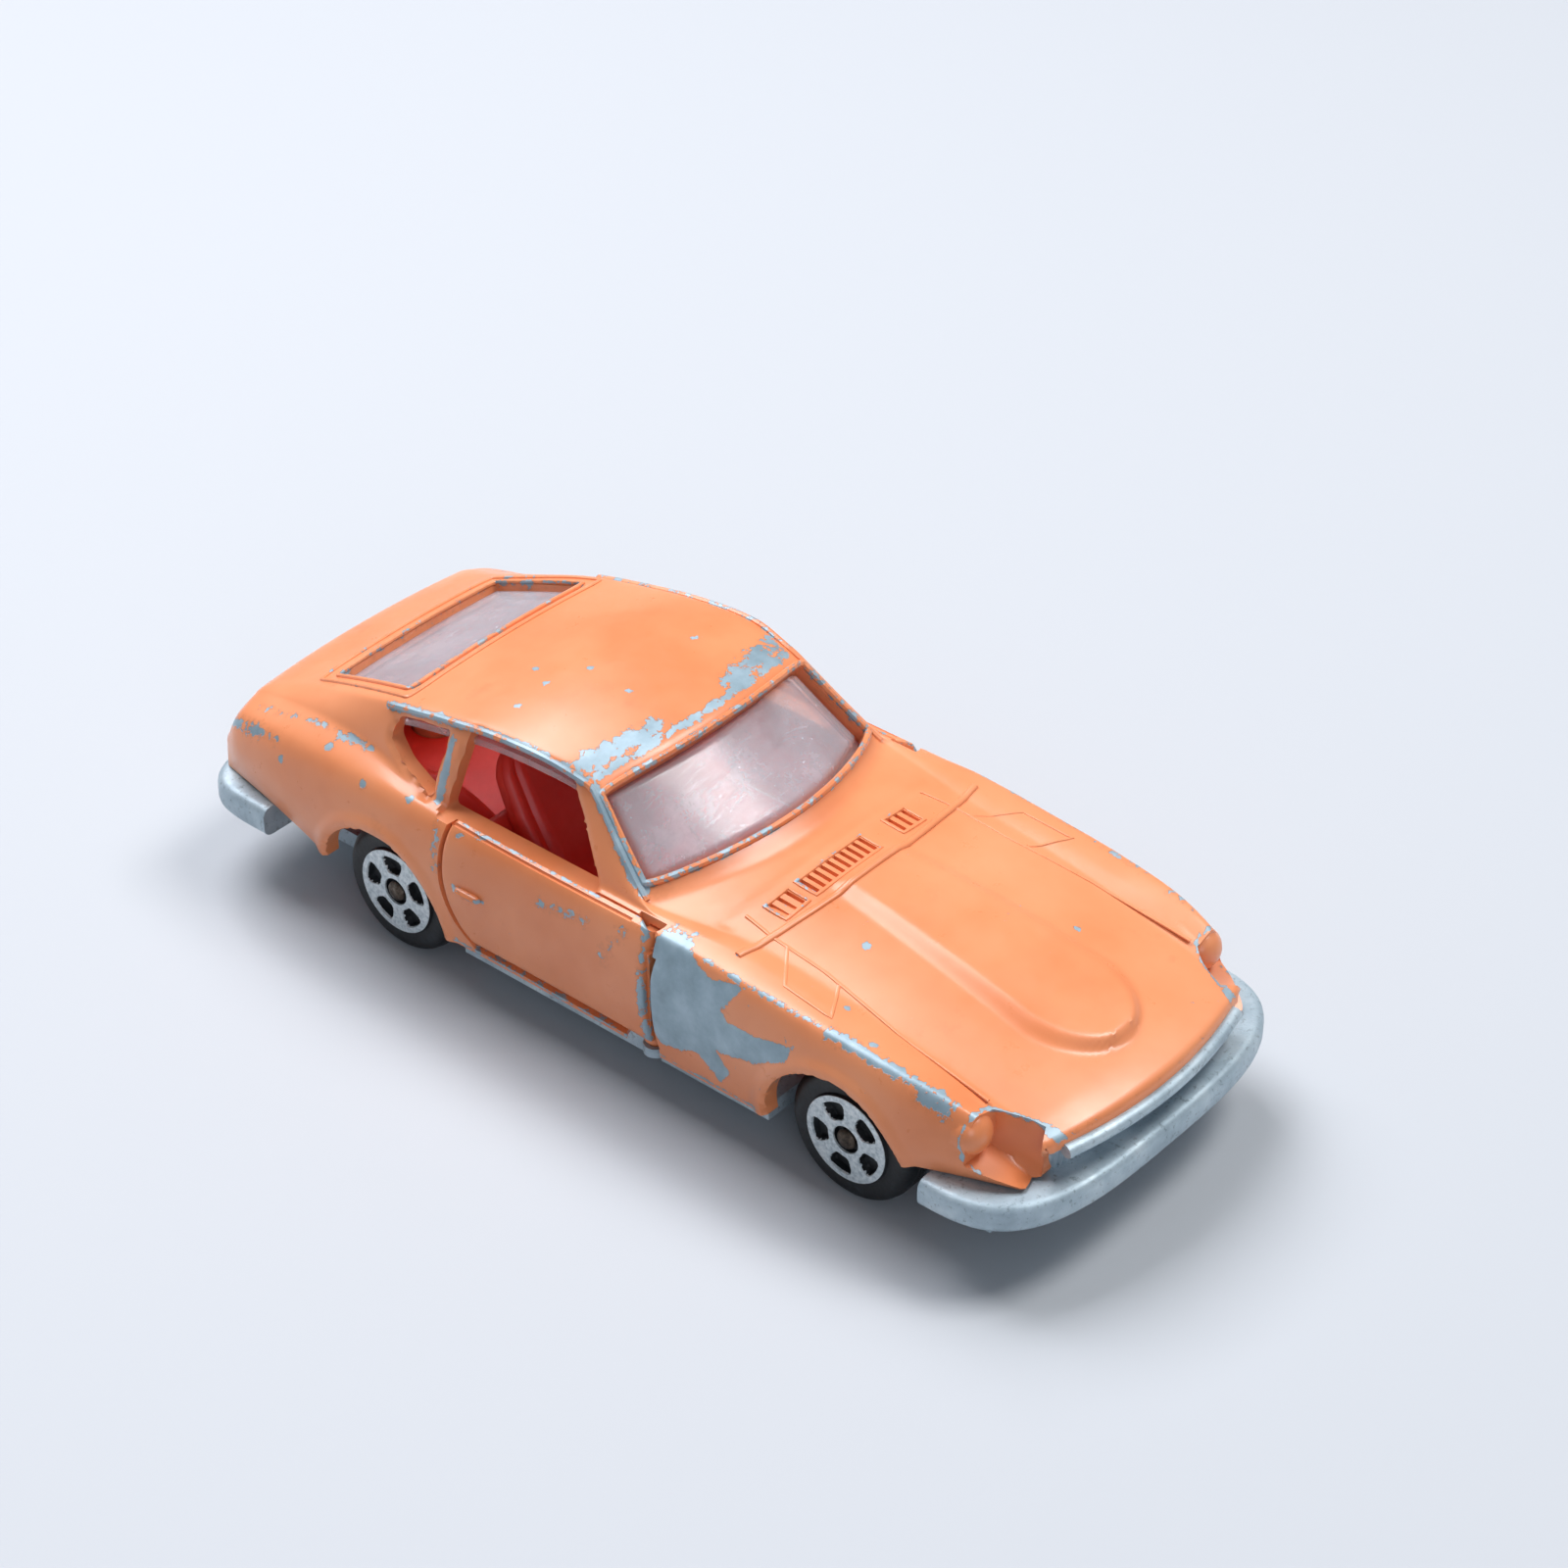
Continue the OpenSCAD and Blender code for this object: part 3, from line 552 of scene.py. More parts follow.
def slab_part(outer, inner):
    """Closed slab between two grids of the same size."""
    m, n = outer.shape[:2]
    front, back = grid_faces(m, n), grid_faces(m, n)[:, ::-1] + m * n
    edge = np.concatenate([np.arange(n), np.arange(1, m) * n + n - 1, (m - 1) * n + np.arange(n - 2, -1, -1),
                           np.arange(m - 2, 0, -1) * n])
    ahead = np.roll(edge, -1)
    rim = np.stack([ahead, edge, edge + m * n, ahead + m * n], -1)
    points = np.concatenate([outer.reshape(-1, 3), inner.reshape(-1, 3)])
    return points, np.concatenate([front, back, rim]).tolist()


opening_out = door_patch(2.36, 4.93, swing_gap, shut_gap, 26, 40, -1.2)[0]
opening_in = door_patch(2.36, 4.93, swing_gap, shut_gap, 26, 40, 2.9)[0]
on_both_sides(body, "door_opening", slab_part(opening_out, opening_in))
for room in ((1.8, 3.3, 5.0), (1.98, 4.9, 12.1), (1.25, 12.0, 12.8), (1.08, 12.7, 13.8)):
    points, faces = upright(*pivot, *room)
    # Above the door's barrel the room stays clear of the lug that holds the upper pin
    nearest_x = 12.08 if room[1] > 11 else 0
    on_both_sides(body, "swing_room", (np.maximum(points, [nearest_x, -99, 0]), faces))
on_both_sides(body, "pin_hole", upright(*pivot, 0.51, 11, 13.1))


# Headlamp scoops: a tapered tunnel from the lamp out through the corner of the nose, with the cast lamp at
# its back
scoop_back, scoop_front = np.array([11.55, -9.5 - lead, 9.85]), np.array([11.75, -13.4 - lead, 10.6])
scoop_r, scoop_wider, scoop_taller = 1.72, 1.5, 1.7


def scoop_rings(count):
    """Rings that go from the lamp to the nose: centre, half width and half height each run in a straight
    line, and the ring turns outwards by 28 degrees on its way. Below, it is cut off level for the
    scoop's flat floor."""
    u = np.linspace(-0.02, 1.12, count)[:, None]
    a = 2 * np.pi * np.arange(44) / 44
    centre = scoop_back * (1 - u) + scoop_front * u
    wide, tall = scoop_r + scoop_wider * u, scoop_r + scoop_taller * u
    yaw = np.radians(28) * np.clip(u, 0, 1)
    across = np.stack([np.cos(yaw), -np.sin(yaw), 0 * yaw], -1)
    deep = tall * np.where(np.sin(a) < 0, 1.5, 1.0) * np.sin(a)
    rings = centre[:, None] + (wide * np.cos(a))[..., None] * across + deep[..., None] * [0, 0, 1]
    rings[..., 2] = np.maximum(rings[..., 2], 8.25 - 1.35 * u)
    return rings


scoop_points = scoop_rings(14)
scoop_middles = scoop_points.mean(1)
count = 14 * 44
scoop_faces = grid_faces(14, 44, wrap_columns=True).tolist()
scoop_faces += [[(i + 1) % 44, i, count] for i in range(44)]
scoop_faces += [[13 * 44 + i, 13 * 44 + (i + 1) % 44, count + 1] for i in range(44)]
scoop_part = (np.concatenate([scoop_points.reshape(-1, 3), scoop_middles[[0, -1]]]), scoop_faces)
on_both_sides(body, "scoop", scoop_part)


def lathe(profile, sides=48):
    """Closed solid of revolution about the X axis from a profile of (radius, x) points that starts and ends
    on the axis, where a fan of triangles closes it."""
    profile = np.asarray(profile, float)
    a = 2 * np.pi * np.arange(sides) / sides
    rings = profile[1:-1]
    points = np.stack([np.broadcast_to(rings[:, 1:], (len(rings), sides)),
                       rings[:, :1] * np.cos(a), rings[:, :1] * np.sin(a)], -1).reshape(-1, 3)
    faces = grid_faces(len(rings), sides, wrap_columns=True).tolist()
    count, last = len(points), len(points) - sides
    points = np.concatenate([points, [[profile[0, 1], 0, 0], [profile[-1, 1], 0, 0]]])
    faces += [[(i + 1) % sides, i, count] for i in range(sides)]
    faces += [[last + i, last + (i + 1) % sides, count + 1] for i in range(sides)]
    return points, faces


def domed(radius, height, base):
    """Profile of a dome: radius cos a outwards and height sin a along the axis, from a disc at base."""
    a = np.linspace(0, np.pi / 2, 9)
    return np.column_stack([radius * np.cos(a), base + height * np.sin(a)])


def facing_forward(part, place):
    """Turn a part that points along X so that it points to the nose, and put it in its place."""
    return np.column_stack([part[0][:, 1], -part[0][:, 0], part[0][:, 2]]) + place, part[1]


lamp_profile = np.concatenate([[[0, -0.8], [lamp_r, -0.8]], domed(lamp_r, 1.35, 0.0)])
on_both_sides(body, "lamp", facing_forward(lathe(lamp_profile), lamp + [0, 0.7, -0.1]), "UNION")

# Fine raised lines cast on the skin: windscreen surround, drip rails down the front pillars, hatch frame
# and cowl
def along_skin(points_st):
    """Path on the skin through points in (s, t), with a point every 0.4 mm or so."""
    fine = dense(np.array(points_st, float) * [1, 10], 0.4, closed=False) / [1, 10]
    return on_skin(fine)


bead = dense(windscreen_rim + 0.028 * (windscreen_rim - windscreen_rim.mean(0)), 0.5)
rail_path = along_skin([[13.6, 1.04], [17.5, 1.03], [21.3, 1.02], [26, 1.03], [31, 1.04], [36, 1.05],
                        [40.4, 1.08]])
frame_outline = rounded_outline([[39.3, -0.93], [39.3, 0.93], [49.0, 0.90], [49.0, -0.90]], 0.25)
frame_path = on_skin(dense(frame_outline * [1, 8], 0.5) / [1, 8])
combine(body, solid("surround", *tube(bead, 0.24, closed=True, sides=8)), "UNION")
combine(body, solid("hatch_frame", *tube(frame_path, 0.16, closed=True, sides=8)), "UNION")
combine(body, solid("hatch_lip", *tube(on_skin(hatch) * [1.02, 1, 1], 0.17, closed=True, sides=8)), "UNION")
on_both_sides(body, "drip_rail", tube(rail_path, 0.25, sides=8), "UNION")


def over_bonnet(points_xs, lift=0.0):
    """Path on top of the bonnet through points in (x, s), found on the skin by searching t along the
    section."""
    path = dense(np.array(points_xs, float), 0.4, closed=False)
    t = np.linspace(-2, 2, 401)
    across = skin(path[:, 1][:, None] + 0 * t, t[None, :] + 0 * path[:, :1])
    nearest = np.abs(across[..., 0] - path[:, :1]).argmin(1)
    found = across[np.arange(len(path)), nearest]
    top = found[:, 2] + bulge_rise(np.abs(path[:, 0]), path[:, 1])
    return np.column_stack([path[:, 0], path[:, 1] - lead, top + lift])


cowl = over_bonnet([[-11.6, 9.25], [-8.1, 8.7], [-5.6, 8.4], [-2.6, 8.15], [2.6, 8.15], [5.6, 8.4],
                    [8.1, 8.7], [11.6, 9.25]], 0.03)
combine(body, solid("cowl_line", *tube(cowl, 0.26, sides=10, squash=0.6)), "UNION")

# Fainter raised lines: the bonnet's shut lines, two inspection flaps, and the rims of the cowl's slots
shut_line = [[8.55, 11.2], [8.9, 8.8], [9.0, 4.5], [9.75, -1.75], [10.1, -9]]
flap_line = [[8.9, 7.6], [11.7, 5.4], [11.9, 1.6], [9.3, 3.2]]
for line in (shut_line, flap_line):
    on_both_sides(body, "shut_line", tube(over_bonnet(line, -0.01), 0.14, sides=8, squash=0.6), "UNION")
slot_rims = [over_bonnet([[a, 9.1], [b, 9.1], [b, 10.85], [a, 10.85], [a, 9.1]]) for a, b in
             ((-7.25, -5.05), (-4.35, 1.95), (4.15, 6.25))]
for rim in slot_rims:
    combine(body, solid("slot_rim", *tube(rim[:-1], 0.16, closed=True, sides=8, squash=0.6)), "UNION")
slots = [*np.linspace(-6.9, -5.4, 3), *np.linspace(-4.0, 1.6, 10), 4.5, 5.2, 5.9]
slot_corners = [([x - 0.15, 9.25 - lead, 13.95], [x + 0.15, 10.7 - lead, 15.2]) for x in slots]
combine(body, solid("slots", *boxes(*slot_corners)))

# Cast posts with thin stems that are peened over under the base
posts_s = [-7.6, 46.6]
for s in posts_s:
    combine(body, solid("post", *upright(0, s - lead, 1.6, 4.0, 10.5)), "UNION")
    combine(body, solid("stem", *upright(0, s - lead, 1.0, 3.2, 4.2)), "UNION")
    head = lathe([[0, -0.55], [1.4, -0.45], [1.4, -0.2], [1.1, 0.0], [0.5, 0.06], [0, 0.06]])
    head = (np.column_stack([head[0][:, 1], head[0][:, 2], -head[0][:, 0]]) + [0, s - lead, 2.95], head[1])
    combine(body, solid("peened_head", *head), "UNION")


# Where the enamel has gone. Each line is worn most along itself, less with distance, and mainly on the
# right side.
patch = np.array([[14.5, 13.7], [12.25, 13.8], [10, 12.8], [7.2, 13.2], [8.0, 12.1], [8.8, 11.3], [8.3, 10.4],
                  [6.1, 10.5], [3.05, 11.15], [3.3, 10.1], [6.1, 8.4], [7.8, 8.0], [9.2, 7.8], [8.1, 6.4],
                  [9.0, 5.1], [10.7, 6.7], [12.4, 6.1], [13.9, 5.6], [14.8, 7.1]]) - [lead, 0]
crest = along_skin([[-9.5, 2.95], [-5, 2.95], [0, 2.98], [6, 3.0], [12, 3.0]])
a_pillar = along_skin([[14, 1.0], [17.5, 1.0], [21.3, 1.0]])
b_pillar = along_skin([[34.2, 1.25], [34.25, 1.6], [34.3, 2.0]])
worn_lines = [
    # line, reach in mm, wear on the right, wear on the left
    (np.concatenate([bead, bead[:1]]), 0.5, 0.86, 0.8),
    (np.concatenate([hatch_rim, hatch_rim[:1]]), 0.45, 0.62, 0.5),
    (np.concatenate([frame_path, frame_path[:1]]), 0.4, 0.5, 0.45),
    (rail_path[20:], 0.7, 0.85, 0.62), (a_pillar, 0.8, 0.92, 0.3),
    (b_pillar, 0.75, 1.0, 0.5),
    (on_skin(np.array([[21.9, -0.93], [21.9, -0.5], [21.9, 0], [21.9, 0.5], [21.9, 0.93]])), 0.8, 0.72, 0.72),
    (on_skin(np.array([[22.8, -0.9], [22.9, -0.35]])), 1.5, 0.66, 0.66),
    (on_skin(np.array([[22.8, 0.35], [23.3, 0.9]])), 2.0, 0.69, 0.69),
    (cowl, 0.3, 0.52, 0.48), (slot_rims[0], 0.3, 0.5, 0.5), (slot_rims[1], 0.3, 0.48, 0.48),
    (slot_rims[2], 0.3, 0.48, 0.48),
    (crest[:26], 1.15, 0.68, 0.45), (crest[26:], 0.55, 0.56, 0.45),
    (on_skin(np.array([[-9.0, -3.15], [-7.5, -3.1]])), 1.7, 0.72, 0.0),
    (along_skin([[6, 4.95], [32, 4.95]]), 0.5, 0.6, 0.6),
    (along_skin([[8.5, 3.6], [9.3, 4.5]]), 0.7, 0.5, 0.4),
    (along_skin([[41, 2.1], [47, 2.3], [52, 2.6]]), 0.8, 0.5, 0.45),
    (along_skin([[49, 3.3], [53, 3.4], [54.4, 3.2]]), 1.3, 0.56, 0.5),
    (along_skin([[33.0, 2.6], [33.2, 3.3], [33.0, 3.9]]), 0.8, 0.52, 0.4),
    (on_skin(np.column_stack([np.full(21, -14.6), np.linspace(-1.2, 1.2, 21)])), 0.35, 0.56, 0.56),
    (on_skin(np.array([[53.9, -1.5], [53.9, 1.5]])), 0.4, 0.5, 0.5),
]
chips_s_t = [[33.5, -0.32], [30.3, -0.16], [31.4, -0.7], [31.6, -0.42], [26.5, -0.2], [-10.1, -0.08],
             [27.5, 0.5], [4, -0.55], [-4, 0.5], [1.5, -1.3], [-2, -2.4], [36, -2.9], [40, -3.2], [44, -2.8], [48, -3.6]]


def inside(points, outline):
    """Whether each (y, z) point lies inside a closed outline, by counting the edges that a line from it
    crosses."""
    y, z = points[:, 0], points[:, 1]
    crossings = np.zeros(len(points), int)
    for (y0, z0), (y1, z1) in zip(outline, np.roll(outline, -1, 0)):
        if z0 != z1:
            at = y0 + (z - z0) / (z1 - z0) * (y1 - y0)
            crossings += ((z >= min(z0, z1)) & (z < max(z0, z1)) & (y < at))
    return crossings % 2 == 1


corner_skin = skin(np.linspace(-15, -7.5, 70)[:, None], np.linspace(0.9, 4.2, 90)[None, :]).reshape(-1, 3)


def wear(points, extra_lines=()):
    """How likely the paint has gone at each point, 0 to 1: for every worn line, its wear on that side times
    a smooth step from 1 on the line to 0 at its reach; 1 inside the patch on the right front wing; and a
    set of small chips."""
    worn = np.zeros(len(points))
    for line, reach, right_wear, left_wear in [*worn_lines, *extra_lines]:
        line = np.asarray(line)
        low, high = line.min(0) - reach, line.max(0) + reach
        for side_of in ((1,) if line[:, 0].min() * line[:, 0].max() < 0 or line[0, 0] < 0 else (1, -1)):
            placed = line * [side_of, 1, 1]
            near = np.flatnonzero(np.abs(points[:, 1] - (low[1] + high[1]) / 2) < (high[1] - low[1]) / 2)
            d = distance_to(points[near], placed)
            level = np.where(points[near, 0] < 0, right_wear, left_wear)
            worn[near] = np.maximum(worn[near], level * smooth_step(reach, 0.0, d))
    wing = np.flatnonzero((points[:, 0] < -11.5) & (points[:, 1] > 2 - lead) & (points[:, 1] < 15.5 - lead))
    edge = distance_to(points[wing][:, 1:], patch, True) * np.where(inside(points[wing][:, 1:], patch), 1, -1)
    worn[wing] = np.maximum(worn[wing], smooth_step(-0.35, 0.35, edge))
    corner = np.flatnonzero((np.abs(points[:, 0]) > 8.3) & (points[:, 1] < -7.6 - lead))
    folded = np.column_stack([np.abs(points[corner, 0]), points[corner, 1:]])
    from_skin = np.array([np.linalg.norm(corner_skin - point, axis=1).min() for point in folded])
    along = (folded[:, 1] - scoop_back[1]) / (scoop_front - scoop_back)[1]
    centre = scoop_back + (scoop_front - scoop_back) * along[:, None]
    across_scoop = (folded[:, 0] - centre[:, 0]) / (scoop_r + scoop_wider * along)
    over_scoop = (folded[:, 2] - centre[:, 2]) / (scoop_r + scoop_taller * along)
    from_wall = np.abs(np.hypot(across_scoop, over_scoop) - 1) * 2
    rim_wear = np.where(points[corner, 0] < 0, 0.78, 0.62) * (along > -0.12)
    rim_wear = rim_wear * smooth_step(0.5, 0.05, np.maximum(from_skin, from_wall))
    worn[corner] = np.maximum(worn[corner], rim_wear)
    for chip in chips_s_t:
        d = np.linalg.norm(points - skin(chip[0], chip[1]), axis=1)
        worn = np.maximum(worn, 0.8 * smooth_step(0.55, 0.1, d))
    return worn


paint_on(body, "worn", wear(coordinates(body)))

# Orange air-dried enamel, about 0.06 mm thick, glossy but finely scuffed, on a tumbled zinc casting. Zinc
# that has been handled is a dull blue-grey, darker where it is deep and brighter where it is rubbed.
enamel, tree = material("orange_enamel_worn_to_zinc")
where = add_node(tree, "TexCoord", out="Object")
worn = add_node(tree, "Attribute", attribute_name="worn", out="Fac")
flakes = add_node(tree, "TexNoise", {
    "Vector": where, "Scale": 1 / (1.5 * MM), "Detail": 6.0, "Roughness": 0.62})
crumbs = add_node(tree, "TexNoise", {
    "Vector": where, "Scale": 1 / (0.42 * MM), "Detail": 3.0, "Roughness": 0.6})
ragged = add_node(tree, "Math", {0: flakes, 1: 0.55}, operation="MULTIPLY")
ragged = add_node(tree, "Math", {0: crumbs, 1: 0.45, 2: ragged}, operation="MULTIPLY_ADD")
ragged = add_node(tree, "Math", {0: ragged, 1: 0.5}, operation="SUBTRACT")
level = add_node(tree, "Math", {0: ragged, 1: 2.2, 2: worn}, operation="MULTIPLY_ADD")
specks = add_node(tree, "TexNoise", {
    "Vector": where, "Scale": 1 / (0.9 * MM), "Detail": 5.0, "Roughness": 0.7})
region = add_node(tree, "TexNoise", {"Vector": where, "Scale": 1 / (9 * MM), "Detail": 2.0})
specks = add_node(tree, "Math", {0: region, 1: 0.25, 2: specks}, operation="MULTIPLY_ADD")
chipped = add_node(tree, "MapRange", {"Value": specks, "From Min": 0.845, "From Max": 0.862})
bare = add_node(tree, "MapRange", {"Value": level, "From Min": 0.485, "From Max": 0.53})
bare = add_node(tree, "Math", {0: bare, 1: chipped}, operation="MAXIMUM")
tint = add_node(tree, "TexNoise", {"Vector": where, "Scale": 1 / (14 * MM), "Detail": 4.0, "Roughness": 0.55})
orange = add_node(tree, "ValToRGB", {"Fac": tint},
                  stops=[(0.35, "#E48450"), (0.5, "#ED915F"), (0.68, "#F29B6B")])
grime = add_node(tree, "TexNoise", {"Vector": where, "Scale": 1 / (5 * MM), "Detail": 7.0, "Roughness": 0.7})
grime = add_node(tree, "MapRange", {"Value": grime, "From Min": 0.6, "From Max": 0.8, "To Max": 0.35})
orange = add_node(tree, "Mix", {"Factor": grime, "A": orange, "B": linear("#A8602F")}, data_type="RGBA")
edge_tone = add_node(tree, "MapRange", {"Value": level, "From Min": 0.3, "From Max": 0.5, "To Max": 0.4})
orange = add_node(tree, "Mix", {"Factor": edge_tone, "A": orange, "B": linear("#CC7A4C")}, data_type="RGBA")
cloud = add_node(tree, "TexNoise", {
    "Vector": where, "Scale": 1 / (2.2 * MM), "Detail": 6.0, "Roughness": 0.6})
zinc_tone = add_node(tree, "ValToRGB", {"Fac": cloud},
                     stops=[(0.3, "#869BA5"), (0.5, "#98AEB9"), (0.72, "#AEC2CC")])
colour = add_node(tree, "Mix", {"Factor": bare, "A": orange, "B": zinc_tone}, data_type="RGBA")
metal = add_node(tree, "Math", {0: bare, 1: 0.35}, operation="MULTIPLY")
scuffs = add_node(tree, "TexNoise", {
    "Vector": where, "Scale": 1 / (2.6 * MM), "Detail": 8.0, "Roughness": 0.75})
gloss = add_node(tree, "MapRange", {
    "Value": scuffs, "From Min": 0.35, "From Max": 0.7, "To Min": 0.27, "To Max": 0.42})
rough = add_node(tree, "Mix", {"Factor": bare, "A": gloss, "B": 0.52}, data_type="FLOAT")
film = add_node(tree, "Math", {0: 1.0, 1: bare}, operation="SUBTRACT")
step = add_node(tree, "Bump", {"Height": film, "Distance": 0.06 * MM, "Strength": 0.7})
ripple = add_node(tree, "TexNoise", {"Vector": where, "Scale": 1 / (1.9 * MM), "Detail": 3.0})
skin_bump = add_node(tree, "Bump", {
    "Height": ripple, "Distance": 0.05 * MM, "Strength": 0.35, "Normal": step})
add_node(tree, "OutputMaterial", {"Surface": add_node(tree, "BsdfPrincipled", {
    "Base Color": colour, "Metallic": metal, "Roughness": rough, "Normal": skin_bump,
    "Coat Weight": 0.25, "Coat Roughness": 0.22})})
dressed(body, enamel, 40)
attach(body, "chassis")
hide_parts("body_shell")

# ---------------------------------------------------------------- Doors
# Each door is a separate zinc casting in the same enamel: a curved panel with a sunk line under its ledge,
# a bar handle, and a hinge block whose cast pins turn in the base and in the body.
ledge = np.column_stack([np.linspace(16.6, 32.1, 40), np.linspace(2.93, 2.9, 40)])
ledge_path = on_skin(ledge)


def door_casting(name):
    """The left door, before it is turned to its side."""
    panel_rows, panel_columns = 74, 150
    outer, n = door_patch(door_top, door_bottom, 0, 0, panel_rows, panel_columns)
    u = np.linspace(0, 1, panel_columns)[None, :]
    v = np.linspace(0, 1, panel_rows)[:, None]
    length = np.linalg.norm(np.diff(outer, axis=1), axis=-1).sum(1)[:, None]
    height = np.linalg.norm(np.diff(outer, axis=0), axis=-1).sum(0)[None, :]
    to_edge = np.minimum(np.minimum(u, 1 - u) * length, np.minimum(v, 1 - v) * height)
    outer = outer - n * rolled(to_edge, 0.35)[..., None]
    inner = door_patch(door_top, door_bottom, 0, 0, panel_rows, panel_columns, wall)[0]
    panel = solid(name, *slab_part(outer, inner))
    combine(panel, solid("ledge_line", *tube(ledge_path, 0.17, sides=6)))
    combine(panel, solid("hinge_barrel", *upright(*pivot, 0.75, 4.35, 12.0)), "UNION")
    combine(panel, solid("hinge_pin", *upright(*pivot, 0.45, 3.35, 12.9)), "UNION")
    combine(panel, solid("hinge_block", *boxes(([12.2, 15.0 - lead, 5], [13.3, 16.2 - lead, 11.8]))), "UNION")
    bar_y = np.linspace(28.85, 31.25, 14) - lead
    bar_ends = np.sqrt(np.clip(1 - (2 * np.abs(np.linspace(-0.5, 0.5, 14))) ** 6, 0.05, 1))
    bar = np.column_stack([np.full(14, 13.98), bar_y, np.full(14, 9.45)])
    combine(panel, solid("handle", *tube(bar, 0.32 * bar_ends, sides=10, squash=0.75)), "UNION")
    return panel


door_edge = np.concatenate([door_patch(door_top, door_bottom, 0, 0, 20, 40)[0][:, 0],
                            door_patch(door_top, door_bottom, 0, 0, 20, 40)[0][-1]])
handle_line = np.array([[14.05, 28.8 - lead, 9.45], [14.05, 31.3 - lead, 9.45]])
door_wear = [
    (door_edge[:20], 1.0, 0.62, 0.5), (door_edge[20:], 0.45, 0.6, 0.5), (handle_line, 0.45, 0.95, 0.6),
    (along_skin([[16.5, 2.62], [31.5, 2.62]]), 0.35, 0.5, 0.42),
    (along_skin([[20, 3.45], [24, 3.6]]), 1.0, 0.5, 0.3),
    (along_skin([[17.2, 3.3], [18.5, 3.9]]), 1.2, 0.52, 0.3),
    (along_skin([[29.6, 2.7], [31.4, 3.2]]), 0.7, 0.5, 0.35),
]
for name, side_of in (("door_left", 1), ("door_right", -1)):
    door = door_casting(name + "_casting")
    points = coordinates(door) * [side_of, 1, 1]
    door.data.vertices.foreach_set("co", (points * MM).astype(np.float32).ravel())
    if side_of < 0:
        door.data.flip_normals()
    door.data.update()
    paint_on(door, "worn", wear(points, door_wear))
    dressed(door, enamel, 40)
    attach(door, name)
    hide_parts(name)

# ---------------------------------------------------------------- Base plate
# One bare zinc casting under the car: floor, forks for the axles, both bumpers and the grille. Cast and
# then tumbled, so its edges are soft and its skin is finely pitted; here only the bumpers and the round bars
# have rounded edges.


def superellipse(half_width, depth, power, steps):
    """Half outline in plan from the right to the left end: (half_width cos^(2/p) a, -depth sin^(2/p) a)."""
    a = np.linspace(0, np.pi, steps)
    c, s = np.cos(a), np.sin(a)
    across = half_width * np.sign(c) * np.abs(c) ** (2 / power)
    return np.column_stack([across, -depth * np.abs(s) ** (2 / power)])


def bumper_part(half_width, depth, power, profile, start, toward):
    """A bumper: at each point of its profile, (inset, height), the outline in plan is a superellipse that
    much smaller. It is carried from one side to the other and closed at both ends."""
    rings = []
    for inset, height in profile:
        plan = superellipse(half_width - inset, depth - inset, power, 97)
        rings.append(np.column_stack([plan[:, 0], start + plan[:, 1] * toward, np.full(97, height)]))
    rings = np.stack(rings, 1)
    n = len(profile)
    faces = grid_faces(97, n, wrap_columns=True).tolist()
    return rings.reshape(-1, 3), faces + [list(range(n)), [96 * n + i for i in range(n)][::-1]]


def rounded_section(width, low, high, edge):
    """Profile of a bar with round edges, as (inset, height), going once round."""
    a = np.linspace(0, np.pi / 2, 5)
    corner = np.column_stack([1 - np.cos(a), np.sin(a)]) * edge
    outer_top = np.column_stack([corner[:, 0], high - edge + corner[:, 1]])
    inner_top = np.column_stack([width - corner[::-1, 0], high - edge + corner[::-1, 1]])
    return np.concatenate([outer_top, inner_top, (inner_top * [1, -1] + [0, low + high])[::-1],
                           (outer_top * [1, -1] + [0, low + high])[::-1]])


floor_low, floor_top = 2.8, 4.0
base = solid("base_casting", *boxes(([-12.3, 6.2 - lead, floor_low], [12.3, 32.2 - lead, floor_top])))
base_blocks = [
    ([-8.4, -10.6, floor_low], [8.4, 50.5, floor_top]),
    ([-11.6, -10.6, floor_low + 0.01], [11.6, -6.2, floor_top - 0.01]),
    ([-9.0, 44.6, floor_low + 0.01], [9.0, 51, floor_top - 0.01]), ([-9.6, -12.6, 3.4], [9.6, -10.2, 6]),
    ([-9.6, 50.2, 3.6], [9.6, 51.6, 7]),
    # gearbox, its tail, exhaust silencer, sump and rear cross beam
    ([-2, 3, 1.95], [2, 10, 3]), ([-1.2, 9, 2.2], [1.2, 14, 3]), ([-1.6, -4, 2.1], [1.6, 2.4, 3]),
    ([3.2, 42, 2.15], [7.0, 45.4, 3]), ([-7.6, 33.2, 2.4], [7.6, 34.4, 3]), ([-7.6, 4.4, 2.4], [7.6, 5.4, 3]),
]
for low, high in base_blocks:
    low, high = np.array(low, float) - [0, lead, 0], np.array(high, float) - [0, lead, 0]
    combine(base, solid("block", *box_part(low, high)), "UNION")
for side_of in (1, -1):
    for axle in (0, wheelbase):
        x_low, x_high = sorted([7.4 * side_of, 8.4 * side_of])
        fork = box_part([x_low, axle - 1.7 - lead, 3.9], [x_high, axle + 1.7 - lead, 6.9])
        combine(base, solid("fork", *fork), "UNION")
    combine(base, solid("ear", *upright(pivot[0] * side_of, pivot[1], 0.82, 3.3, 4.0)), "UNION")
exhaust = np.array([[-5.7, 12], [-5.7, 30], [-5.2, 34], [-5.4, 40], [-5.7, 46]], float)
exhaust = np.column_stack([exhaust[:, 0], exhaust[:, 1] - lead, np.full(5, 2.75)])
combine(base, solid("exhaust", *tube(dense(exhaust, 1.0, closed=False), 0.62, sides=12)), "UNION")
drive = np.column_stack([np.linspace(-7.4, 7.4, 60), np.full(60, wheelbase + 0.2 - lead), np.full(60, 2.95)])
drive_r = 0.75 + 0.35 * np.exp(-(drive[:, 0] / 1.5) ** 2)
combine(base, solid("final_drive", *tube(drive, drive_r, sides=12)), "UNION")
